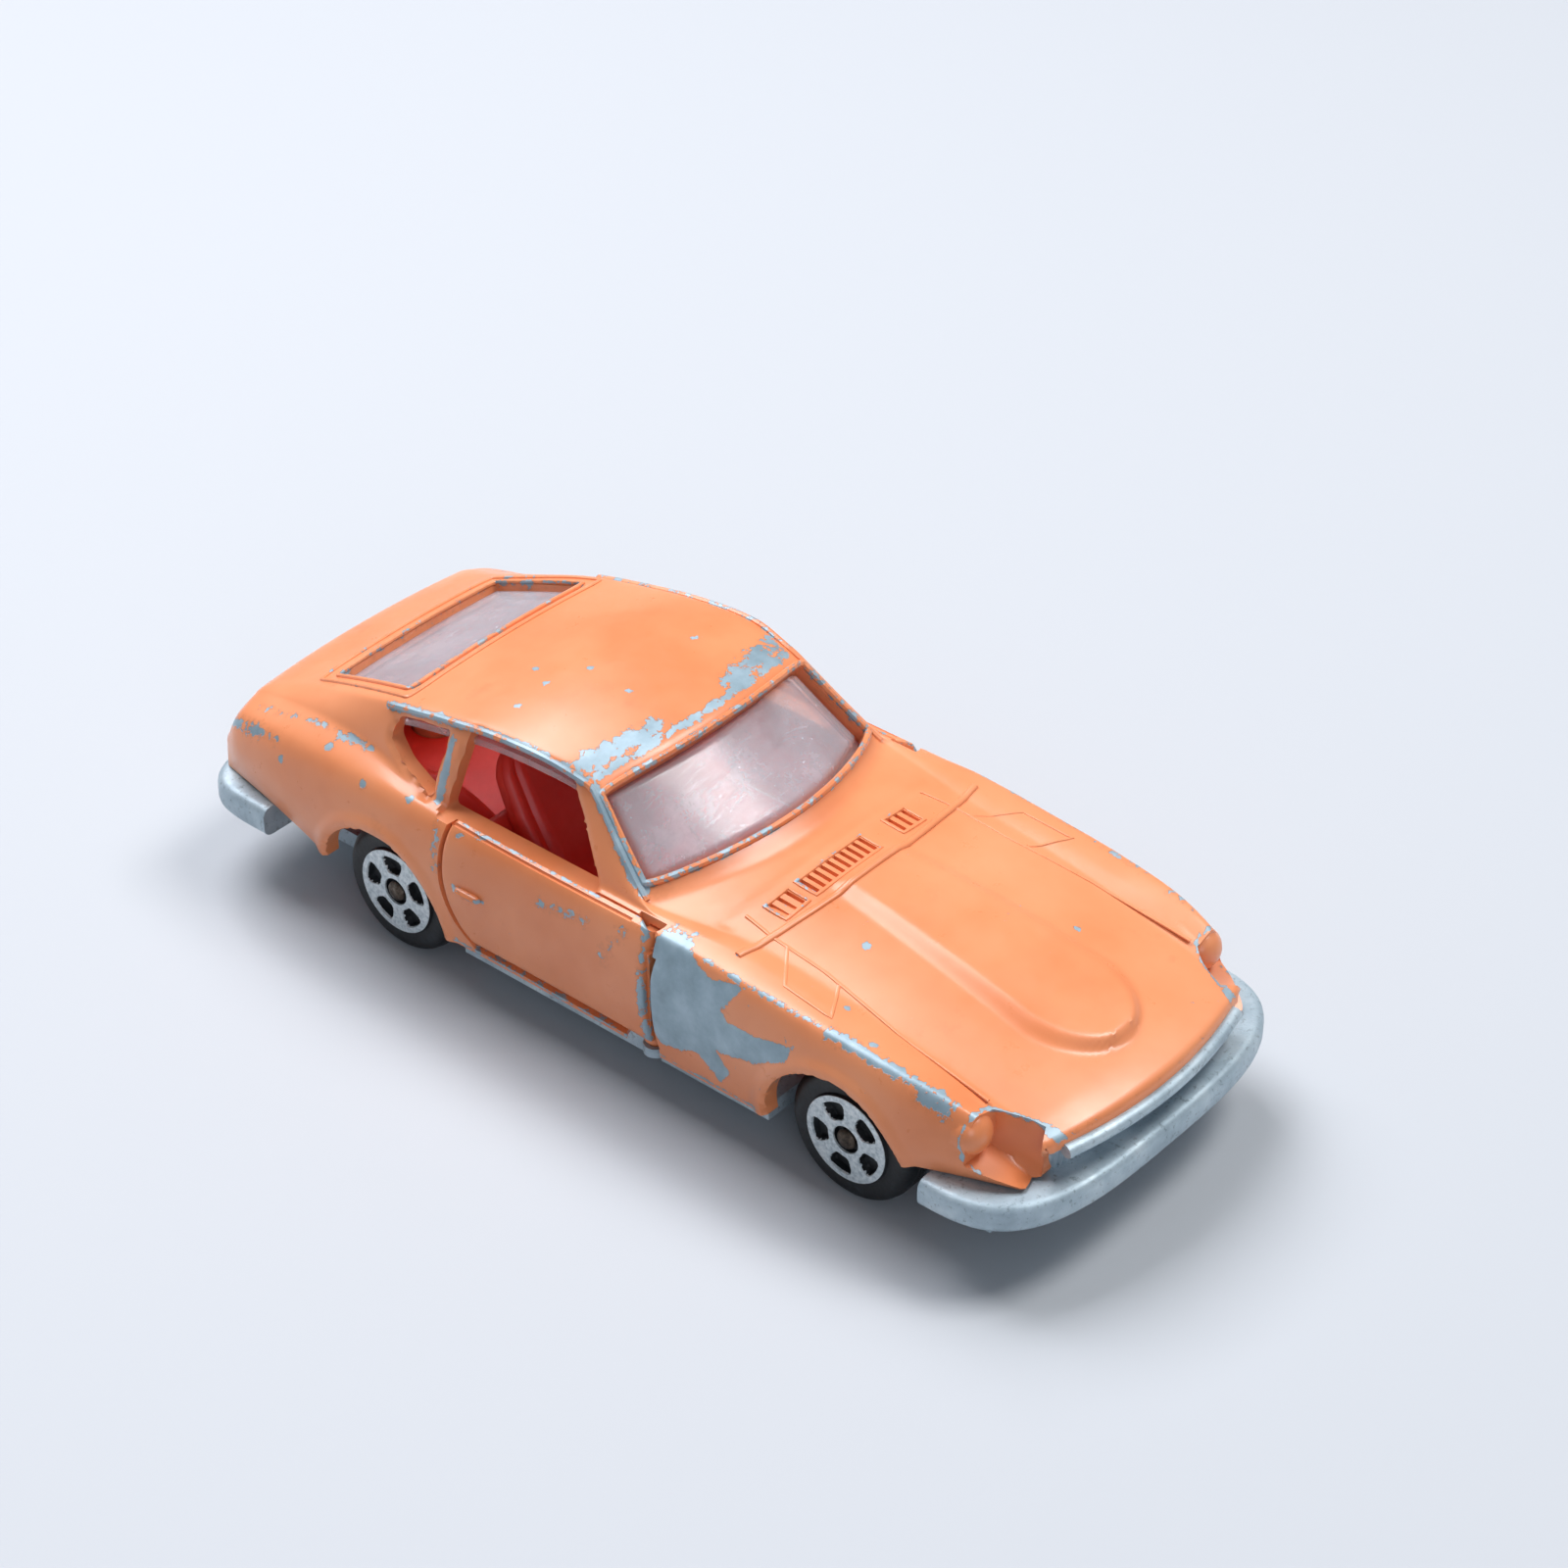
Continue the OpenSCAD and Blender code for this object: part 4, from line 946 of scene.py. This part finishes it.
combine(base, solid("front_bumper", *bumper_part(14.4, 8.3, 3.2, rounded_section(3.4, 4.8, 6.8, 0.6),
                                                 -7.2 - lead, 1)), "UNION")
combine(base, solid("rear_bumper", *bumper_part(14.0, 7.3, 4.5, rounded_section(3.2, 4.9, 7.1, 0.65),
                                                49 - lead, -1)), "UNION")
# The bar over the grille is bowed like the nose, and the wall under it is a row of ribs 0.45 mm from crest
# to crest
bow = np.linspace(-8.55, 8.55, 60)
nose_bar = np.column_stack([bow, -14.75 + 1.6 * (bow / 10) ** 2 - lead, np.full(60, 8.9)])
combine(base, solid("nose_bar", *tube(nose_bar, 0.56, sides=14, squash=0.82)), "UNION")
grille_x = np.linspace(-9.0, 9.0, 420)
grille_z = np.array([4.7, 4.9, 5.4, 6.2, 7.0, 7.8, 8.7])
ribs = -13.75 + 1.6 * (grille_x / 10) ** 2 - lead - 0.12 * np.cos(2 * np.pi * grille_x / 0.45)
ribs = ribs[None, :] + 0.1 * (8.7 - grille_z[:, None])
grille_front = np.stack(np.broadcast_arrays(grille_x[None, :], ribs, grille_z[:, None]), -1)
grille_back = grille_front * [1, 0, 1] + [0, -12.0 - lead, 0]
combine(base, solid("grille", *slab_part(grille_front, grille_back)), "UNION")
for side_of in (1, -1):
    for axle in (0, wheelbase):
        room = box_part([8.9, axle - 5.9 - lead, 1], [16, axle + 5.9 - lead, 4.4])
        combine(base, solid("wheel_room", room[0] * [side_of, 1, 1], room[1]))
        slot = box_part([6.4, axle - 0.6 - lead, wheel_height], [9.4, axle + 0.6 - lead, 9])
        combine(base, solid("fork_slot", slot[0] * [side_of, 1, 1], slot[1]))
        bore, bore_faces = lathe([[0, 6.4], [0.6, 6.4], [0.6, 9.4], [0, 9.4]])
        bore = (bore + [0, axle - lead, wheel_height]) * [side_of, 1, 1]
        combine(base, solid("fork_bore", bore, bore_faces))
    combine(base, solid("pin_seat", *upright(pivot[0] * side_of, pivot[1], 0.51, 1, 5)))
for s in posts_s:
    combine(base, solid("stem_hole", *upright(0, s - lead, 1.05, 1, 5)))
    combine(base, solid("head_sink", *upright(0, s - lead, 1.45, 1, 3.4)))

# Zinc alloy as cast and tumbled: dull blue-grey, brighter on rubbed spots, with pits about 0.3 mm across
tumbled_zinc, tree = material("tumbled_zinc_casting")
where = add_node(tree, "TexCoord", out="Object")
cloud = add_node(tree, "TexNoise", {"Vector": where, "Scale": 1 / (4 * MM), "Detail": 7.0, "Roughness": 0.66})
tone = add_node(tree, "ValToRGB", {"Fac": cloud},
                stops=[(0.3, "#97A8B2"), (0.5, "#B0C1CA"), (0.7, "#CCD9DF")])
pits = add_node(tree, "TexNoise", {
    "Vector": where, "Scale": 1 / (0.35 * MM), "Detail": 3.0, "Roughness": 0.6})
speck = add_node(tree, "MapRange", {
    "Value": pits, "From Min": 0.3, "From Max": 0.42, "To Min": 0.45, "To Max": 0.0})
tone = add_node(tree, "Mix", {"Factor": speck, "A": tone, "B": linear("#4C5658")}, data_type="RGBA")
rubbed = add_node(tree, "MapRange", {
    "Value": cloud, "From Min": 0.3, "From Max": 0.7, "To Min": 0.58, "To Max": 0.4})
pitting = add_node(tree, "Bump", {"Height": pits, "Distance": 0.07 * MM, "Strength": 0.5})
add_node(tree, "OutputMaterial", {"Surface": add_node(tree, "BsdfPrincipled", {
    "Base Color": tone, "Metallic": 0.35, "Roughness": rubbed, "Normal": pitting})})
dressed(base, tumbled_zinc, 35)
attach(base, "chassis")
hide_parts("base_plate")

# ---------------------------------------------------------------- Glazing
# One clear moulding under the roof: a sheet that rises into the windscreen and into the hatch. Old clear
# plastic with a faint lavender cast, scuffed and dusty, held between the body and the cabin.
pane_rows = np.linspace(13.7, 49.2, 150)
pane_t = np.linspace(-1.0, 1.0, 75)
pane = skin(pane_rows[:, None], pane_t[None, :])
pane_n = grid_normals(pane)
pane_s, pane_place = pane_rows[:, None] + 0 * pane_t, pane_t[None, :] + 0 * pane_rows[:, None]


def rise(s_low, s_high, t_half):
    """1 inside an opening and 0 outside it, with a smooth step 0.45 mm wide at its edge."""
    from_end = np.minimum(pane_s - s_low, s_high - pane_s)
    from_side = (t_half - np.abs(pane_place)) * 10
    return smooth_step(0.05, 0.5, np.minimum(from_end, from_side))


raised = np.maximum(rise(14.6, 20.9, 0.95), rise(40.1, 48.0, 0.81))
pane_depth = 1.2 - 0.72 * raised
sheet_t = 0.55
glazing = mesh_object("clear_glazing", [slab_part(pane - pane_n * pane_depth[..., None],
                                                  pane - pane_n * (pane_depth + sheet_t)[..., None])], [])
clear_plastic, tree = material("aged_clear_styrene")
where = add_node(tree, "TexCoord", out="Object")
haze = add_node(tree, "TexNoise", {"Vector": where, "Scale": 1 / (5 * MM), "Detail": 8.0, "Roughness": 0.7})
long_way = add_node(tree, "Mapping", {"Vector": where, "Rotation": (0, 0, 0.6), "Scale": (1, 9, 1)})
scratch = add_node(tree, "TexNoise", {
    "Vector": long_way, "Scale": 1 / (3 * MM), "Detail": 6.0, "Roughness": 0.75})
dust = add_node(tree, "TexNoise", {
    "Vector": where, "Scale": 1 / (0.32 * MM), "Detail": 2.0, "Roughness": 0.5})
dust = add_node(tree, "MapRange", {"Value": dust, "From Min": 0.7, "From Max": 0.76, "To Max": 0.7})
milky = add_node(tree, "MapRange", {
    "Value": haze, "From Min": 0.3, "From Max": 0.75, "To Min": 0.28, "To Max": 0.5})
rub = add_node(tree, "MapRange", {"Value": scratch, "From Min": 0.6, "From Max": 0.75, "To Max": 0.16})
milky = add_node(tree, "Math", {0: milky, 1: rub}, operation="ADD")
milky = add_node(tree, "Math", {0: milky, 1: dust}, operation="MAXIMUM", use_clamp=True)
through = add_node(tree, "Math", {0: 1.0, 1: milky}, operation="SUBTRACT", use_clamp=True)
tint = add_node(tree, "Mix", {
    "Factor": milky, "A": linear("#FBF4F8"), "B": linear("#F6F2FA")}, data_type="RGBA")
rough = add_node(tree, "MapRange", {
    "Value": scratch, "From Min": 0.35, "From Max": 0.7, "To Min": 0.13, "To Max": 0.26})
cover = add_node(tree, "MapRange", {"Value": milky, "To Min": 0.4, "To Max": 1.0})
add_node(tree, "OutputMaterial", {"Surface": add_node(tree, "BsdfPrincipled", {
    "Base Color": tint, "Roughness": rough, "IOR": 1.5, "Transmission Weight": through, "Alpha": cover})})
dressed(glazing, clear_plastic, 60)
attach(glazing, "chassis")
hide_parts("glazing")

# ---------------------------------------------------------------- Cabin
# One moulding in red plastic, dropped in from below: floor, ribbed seats, dashboard, raised rear deck and
# the round boxes over the rear wheels. Half-gloss polystyrene with soft moulded edges.


def pad_part(path, across, thick, width, ribs, rib_depth):
    """A seat pad: a superellipse section, half width along X and half thickness along the way across the
    path, carried along the path. Both shrink to nothing at its ends, and the front carries ribs, each a
    half cosine."""
    rows, sides, power = 60, 72, 4.0
    path, across = np.asarray(path, float), np.asarray(across, float)
    u = np.linspace(0, 1, rows)
    reach = np.concatenate([[0], np.cumsum(np.linalg.norm(np.diff(path, axis=0), axis=1))])
    reach /= reach[-1]
    middle = np.column_stack([np.interp(u, reach, path[:, k]) for k in range(2)])
    forward = np.column_stack([np.interp(u, reach, across[:, k]) for k in range(2)])
    forward /= np.linalg.norm(forward, axis=1, keepdims=True)
    end = np.clip(1 - np.abs(2 * u - 1) ** 9, 0, 1) ** 0.42
    half_w = np.interp(u, reach, width)[:, None] * (0.55 + 0.45 * end[:, None])
    half_t = np.interp(u, reach, thick)[:, None] * np.maximum(end, 0.02)[:, None]
    a = 2 * np.pi * np.arange(sides) / sides
    c, s = np.cos(a), np.sin(a)
    px = half_w * (np.sign(c) * np.abs(c) ** (2 / power))
    pt = half_t * (np.sign(s) * np.abs(s) ** (2 / power))
    flute = np.abs(np.sin(np.pi * ribs * (px / half_w + 1) / 2)) - 1
    pt = pt + rib_depth * flute * (s > 0.2) * end[:, None]
    points = np.stack([px, middle[:, :1] + pt * forward[:, :1], middle[:, 1:] + pt * forward[:, 1:]], -1)
    faces = grid_faces(rows, sides, wrap_columns=True).tolist()
    faces += [list(range(sides))[::-1], [(rows - 1) * sides + i for i in range(sides)]]
    return points.reshape(-1, 3), faces


def moved_across(part, x):
    """Move a part sideways, and from distances behind the front axle to the shared frame."""
    return part[0] + [x, -lead, 0], part[1]


seat_x = 5.2
back_part = pad_part([[27.2, 6.2], [28.9, 9.2], [30.7, 12.2], [32.1, 14.6], [32.8, 16.0]],
                     [[-0.95, 0.3], [-0.95, 0.3], [-0.95, 0.28], [-0.96, 0.26], [-0.97, 0.2]],
                     [0.95, 0.95, 0.85, 0.75, 0.6], [3.8, 3.8, 3.7, 3.4, 2.8], ribs=6, rib_depth=0.34)
cushion_part = pad_part([[20.7, 6.3], [23.5, 6.4], [26.5, 6.2], [27.4, 6.2]], [[0, 1]] * 4,
                        [0.95, 1.05, 1.0, 0.9], [3.2, 3.35, 3.4, 3.4], ribs=6, rib_depth=0.25)
floor_part = boxes(([-11, 16.5 - lead, 4.1], [11, 31.6 - lead, 5.3]),
                   ([-1.1, 16.6 - lead, 5.0], [1.1, 30 - lead, 6.3]))
rear_part = boxes(([-8.5, 31 - lead, 6.7], [8.5, 48.6 - lead, 7.9]))


def hump_part(x_in, x_out):
    """Box over a rear wheel: height = 4.7 + sqrt(7.2^2 - (s - axle)^2), cut off at the deck, rounded
    towards the middle of the car with a quarter of a superellipse."""
    s = np.linspace(32.2, 44.6, 60)
    crest_z = wheel_height + np.sqrt(7.2**2 - (s - wheelbase) ** 2)
    a = np.linspace(0, np.pi / 2, 16)
    x = x_out + (x_in - x_out) * np.sin(a) ** 0.5
    drop = np.cos(a) ** 0.5
    z = 7.0 + (crest_z[:, None] - 7.0) * drop[None, :]
    top = np.stack(np.broadcast_arrays(x[None, :], (s - lead)[:, None], z), -1)
    bottom = top * [1, 1, 0] + [0, 0, 6.75]
    return slab_part(top, bottom)


cabin = solid("cabin_moulding", *floor_part)
for part in (rear_part, boxes(([-11, 30.8 - lead, 4.1], [11, 32 - lead, 10.6])),
             boxes(([-11, 16.5 - lead, 4.1], [11, 17.6 - lead, 11.2]))):
    combine(cabin, solid("wall", *part), "UNION")
dash = np.array([[16.6, 9.6], [16.6, 11.8], [18.4, 11.8], [19.2, 10.9], [19.0, 9.9]])
dash_outline = rounded_outline(dash - [lead, 0], 0.45)
combine(cabin, solid("dashboard", *prism_along_x(dash_outline, -10.6, 10.6)), "UNION")
binnacle = np.array([[17.2, 11.2], [17.3, 12.5], [18.6, 12.4], [19.3, 11.2]])
binnacle = rounded_outline(binnacle - [lead, 0], 0.4)
combine(cabin, solid("binnacle", *prism_along_x(binnacle, -seat_x - 1.9, -seat_x + 1.9)), "UNION")
rear_shelf = np.array([[30.8, 7.2], [30.8, 11.6], [32.6, 11.9], [34.2, 7.2]])
rear_shelf = rounded_outline(rear_shelf - [lead, 0], 0.9)
combine(cabin, solid("rear_shelf", *prism_along_x(rear_shelf, -10.9, 10.9)), "UNION")
for side_of in (1, -1):
    combine(cabin, solid("seat_cushion", *moved_across(cushion_part, seat_x * side_of)), "UNION")
    combine(cabin, solid("seat_back", *moved_across(back_part, seat_x * side_of)), "UNION")
    hump = hump_part(6.4, 10.9)
    combine(cabin, solid("wheel_box", hump[0] * [side_of, 1, 1], hump[1]), "UNION")
combine(cabin, solid("post_hole", *upright(0, posts_s[1] - lead, 1.75, 6, 9)))
rake = np.radians(64)
wheel_centre = np.array([-seat_x, 20.75 - lead, 11.1])
axis_y, axis_z = np.sin(rake), np.cos(rake)
a = 2 * np.pi * np.arange(40) / 40
plane_up = np.array([0, -axis_z, axis_y])
rim_path = wheel_centre + 1.9 * (np.cos(a)[:, None] * [1, 0, 0] + np.sin(a)[:, None] * plane_up)
wheel_axis = np.array([0, axis_y, axis_z])
steering_rim = tube(rim_path, 0.32, closed=True, sides=10, up=wheel_axis)
combine(cabin, solid("steering_rim", *steering_rim), "UNION")
for way in (0, np.pi, 1.5 * np.pi):
    tip = wheel_centre + 1.85 * (np.cos(way) * np.array([1, 0, 0]) + np.sin(way) * plane_up)
    spoke = tube(np.linspace(wheel_centre, tip, 6), 0.2, sides=8, up=wheel_axis)
    combine(cabin, solid("spoke", *spoke), "UNION")
column = np.linspace(wheel_centre + [0, 0.15, 0.1], wheel_centre - 2.6 * wheel_axis, 8)
combine(cabin, solid("column", *tube(column, 0.42, sides=12, up=(1, 0, 0))), "UNION")

# Red polystyrene: slightly see-through, half gloss, with faint flow marks 6 mm apart and a fine mould grain
red_plastic, tree = material("moulded_red_polystyrene")
where = add_node(tree, "TexCoord", out="Object")
flow = add_node(tree, "TexNoise", {"Vector": where, "Scale": 1 / (6 * MM), "Detail": 5.0, "Roughness": 0.6})
tone = add_node(tree, "ValToRGB", {"Fac": flow},
                stops=[(0.3, "#DC2418"), (0.55, "#EA3223"), (0.75, "#F24636")])
grain = add_node(tree, "TexNoise", {"Vector": where, "Scale": 1 / (0.5 * MM), "Detail": 2.0})
satin = add_node(tree, "MapRange", {
    "Value": flow, "From Min": 0.3, "From Max": 0.7, "To Min": 0.33, "To Max": 0.48})
moulded = add_node(tree, "Bump", {"Height": grain, "Distance": 0.03 * MM, "Strength": 0.5})
add_node(tree, "OutputMaterial", {"Surface": add_node(tree, "BsdfPrincipled", {
    "Base Color": tone, "Roughness": satin, "IOR": 1.55, "Normal": moulded, "Subsurface Weight": 0.15,
    "Subsurface Radius": (0.002, 0.0008, 0.0005), "Subsurface Scale": 0.4})})
dressed(cabin, red_plastic, 42)
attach(cabin, "chassis")
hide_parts("interior")

# ---------------------------------------------------------------- Springs
# Bent strips of plain spring steel: one across the car that holds the doors shut, and one over each axle.
# They keep the frame's own shapes. Cold-rolled strip has fine lines along its length and turns faintly
# brown with age.
spring_steel, tree = material("cold_rolled_spring_steel")
where = add_node(tree, "TexCoord", out="Object")
drawn = add_node(tree, "Mapping", {"Vector": where, "Scale": (0.08, 1, 1)})
grain = add_node(tree, "TexNoise", {
    "Vector": drawn, "Scale": 1 / (0.15 * MM), "Detail": 4.0, "Roughness": 0.65})
age = add_node(tree, "TexNoise", {"Vector": where, "Scale": 1 / (3 * MM), "Detail": 6.0, "Roughness": 0.7})
tone = add_node(tree, "ValToRGB", {"Fac": age},
                stops=[(0.35, "#8F8F8C"), (0.6, "#A9A7A2"), (0.78, "#7A5F49")])
dull = add_node(tree, "MapRange", {
    "Value": age, "From Min": 0.35, "From Max": 0.75, "To Min": 0.3, "To Max": 0.6})
lines = add_node(tree, "Bump", {"Height": grain, "Distance": 0.02 * MM, "Strength": 0.5})
add_node(tree, "OutputMaterial", {"Surface": add_node(tree, "BsdfPrincipled", {
    "Base Color": tone, "Metallic": 0.9, "Roughness": dull, "Normal": lines})})
for name in ("door_spring", "axle_spring_front", "axle_spring_rear"):
    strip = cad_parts[name]
    strip.data.materials.clear()
    strip.data.materials.append(spring_steel)

# ---------------------------------------------------------------- Axles
# Drawn steel rods whose ends are upset into domed heads after the wheels are on, dark with old oil and dirt
# and 0.02 mm thinner between the wheels.
dirty_steel, tree = material("drawn_steel_with_old_oil")
where = add_node(tree, "TexCoord", out="Object")
oil = add_node(tree, "TexNoise", {"Vector": where, "Scale": 1 / (0.7 * MM), "Detail": 6.0, "Roughness": 0.7})
tone = add_node(tree, "ValToRGB", {"Fac": oil},
                stops=[(0.35, "#2E2823"), (0.55, "#5A4E43"), (0.72, "#8D8478")])
dull = add_node(tree, "MapRange", {
    "Value": oil, "From Min": 0.35, "From Max": 0.7, "To Min": 0.6, "To Max": 0.35})
crust = add_node(tree, "Bump", {"Height": oil, "Distance": 0.05 * MM, "Strength": 0.6})
add_node(tree, "OutputMaterial", {"Surface": add_node(tree, "BsdfPrincipled", {
    "Base Color": tone, "Metallic": 0.7, "Roughness": dull, "Normal": crust})})
for name, axle in (("axle_front", 0), ("axle_rear", wheelbase)):
    half = [[0.53, 0.0], [0.53, 8.8], [0.55, 9.0], [0.55, 12.16], [0.66, 12.2], [0.7, 12.26], [0.68, 12.36],
            [0.55, 12.47], [0.3, 12.53], [0, 12.55]]
    profile = np.array([[r, -x] for r, x in half[::-1]] + half[1:])
    points, faces = lathe(profile, sides=40)
    rod = mesh_object(name + "_rod", [(points + [0, axle - lead, wheel_height], faces)], [])
    dressed(rod, dirty_steel, 40)
    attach(rod, name)
    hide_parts(name)

# ---------------------------------------------------------------- Wheels
# One black plastic moulding each: a tyre with a shallow tread and a sunk five-window face whose raised
# parts are hot-stamped with silver foil. The foil is rubbed thin and the tyre is dusty.
bore_r = 0.61


def window_depth(r, a):
    """Depth of the face below the foil at radius r and angle a: five windows with round corners, each the
    part of a ring where |a| is under 21 degrees and r between 1.42 and 2.6, narrower towards the hub;
    and a sunk hub."""
    step_a = 2 * np.pi / 5
    off = np.abs((a + step_a / 2) % step_a - step_a / 2)
    across_window = np.abs(off) * r - np.interp(r, [1.4, 2.1, 2.6], [0.42, 0.76, 0.86])
    along_window = np.maximum(1.42 - r, r - 2.6)
    d = np.maximum(across_window, along_window)
    corner = np.hypot(np.maximum(across_window + 0.22, 0), np.maximum(along_window + 0.22, 0)) - 0.22
    d = np.where((across_window > -0.22) & (along_window > -0.22), corner, d)
    return 0.55 * smooth_step(0.07, -0.07, d) + 0.5 * smooth_step(1.0, 0.9, r)


face_r = np.concatenate([np.linspace(bore_r, 2.98, 64), [3.03, 3.06]])
rim_profile = np.array([[3.1, 12.3], [3.16, 12.1], [3.3, 12.08], [3.6, 12.13], [4.0, 12.16], [4.25, 12.1],
                        [4.46, 11.92], [4.6, 11.7], [4.66, 11.4], [4.7, 11.3]])
tread_x = np.linspace(11.2, 10.1, 23)
tread = np.column_stack([4.7 - 0.09 * (np.cos(2 * np.pi * (tread_x - 10.1) / 0.36) < -0.2), tread_x])
inner_profile = np.array([[4.7, 10.0], [4.6, 9.75], [4.3, 9.65], [3.45, 9.8], [3.4, 9.4], [bore_r, 9.4]])
around_wheel = 240
turn_a = 2 * np.pi * np.arange(around_wheel) / around_wheel
sunk = window_depth(face_r[:, None], turn_a[None, :])
foot_of_face = 12.4 - 0.03 * smooth_step(2.7, 3.06, face_r)[:, None]
face_x = foot_of_face - sunk
face_ring = np.stack([face_x, face_r[:, None] * np.cos(turn_a), face_r[:, None] * np.sin(turn_a)], -1)
outside = np.concatenate([rim_profile, tread, inner_profile])
other_rings = np.stack([np.broadcast_to(outside[:, 1:], (len(outside), around_wheel)),
                        outside[:, :1] * np.cos(turn_a), outside[:, :1] * np.sin(turn_a)], -1)
wheel_points = np.concatenate([face_ring, other_rings])
foil = np.concatenate([smooth_step(0.16, 0.04, sunk), np.zeros(other_rings.shape[:2])])
wheel_faces = grid_faces(len(wheel_points), around_wheel, wrap_rows=True, wrap_columns=True)

# Hot-stamped foil over black polystyrene: foil where the attribute says so, less a rubbed noise; dust lies
# on the tyre
stamped, tree = material("black_polystyrene_foil_stamped")
where = add_node(tree, "TexCoord", out="Object")
stamp = add_node(tree, "Attribute", attribute_name="foil", out="Fac")
rub = add_node(tree, "TexNoise", {"Vector": where, "Scale": 1 / (0.6 * MM), "Detail": 6.0, "Roughness": 0.72})
edge = add_node(tree, "Math", {0: rub, 1: 0.75, 2: -0.32}, operation="MULTIPLY_ADD")
kept = add_node(tree, "Math", {0: stamp, 1: edge}, operation="SUBTRACT")
kept = add_node(tree, "MapRange", {"Value": kept, "From Min": 0.42, "From Max": 0.52})
gleam = add_node(tree, "TexNoise", {"Vector": where, "Scale": 1 / (0.25 * MM), "Detail": 3.0})
silver = add_node(tree, "ValToRGB", {"Fac": gleam},
                  stops=[(0.3, "#B4C1C6"), (0.5, "#D3DDE0"), (0.7, "#E9F0F1")])
dust = add_node(tree, "TexNoise", {"Vector": where, "Scale": 1 / (1.3 * MM), "Detail": 9.0, "Roughness": 0.8})
dusty = add_node(tree, "MapRange", {"Value": dust, "From Min": 0.5, "From Max": 0.75, "To Max": 0.55})
black = add_node(tree, "Mix", {
    "Factor": dusty, "A": linear("#101316"), "B": linear("#444D52")}, data_type="RGBA")
colour = add_node(tree, "Mix", {"Factor": kept, "A": black, "B": silver}, data_type="RGBA")
metal = add_node(tree, "Math", {0: kept, 1: 0.45}, operation="MULTIPLY")
satin = add_node(tree, "MapRange", {
    "Value": dust, "From Min": 0.35, "From Max": 0.7, "To Min": 0.38, "To Max": 0.6})
rough = add_node(tree, "Mix", {"Factor": kept, "A": satin, "B": 0.42}, data_type="FLOAT")
relief = add_node(tree, "Bump", {"Height": gleam, "Distance": 0.03 * MM, "Strength": 0.6})
add_node(tree, "OutputMaterial", {"Surface": add_node(tree, "BsdfPrincipled", {
    "Base Color": colour, "Metallic": metal, "Roughness": rough, "Normal": relief})})
for name, side_of, axle, turn_by in (
        ("wheel_front_left", 1, 0, 20), ("wheel_front_right", -1, 0, -8),
        ("wheel_rear_left", 1, wheelbase, 50), ("wheel_rear_right", -1, wheelbase, 14)):
    c, s = np.cos(np.radians(turn_by)), np.sin(np.radians(turn_by))
    spun = wheel_points.reshape(-1, 3) @ np.array([[1, 0, 0], [0, c, s], [0, -s, c]])
    placed = spun * [side_of, 1, 1] + [0, axle - lead, wheel_height]
    wheel = solid(name + "_moulding", placed, wheel_faces.tolist())
    paint_on(wheel, "foil", foil.reshape(-1))
    dressed(wheel, stamped, 45)
    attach(wheel, name)
    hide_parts(name)
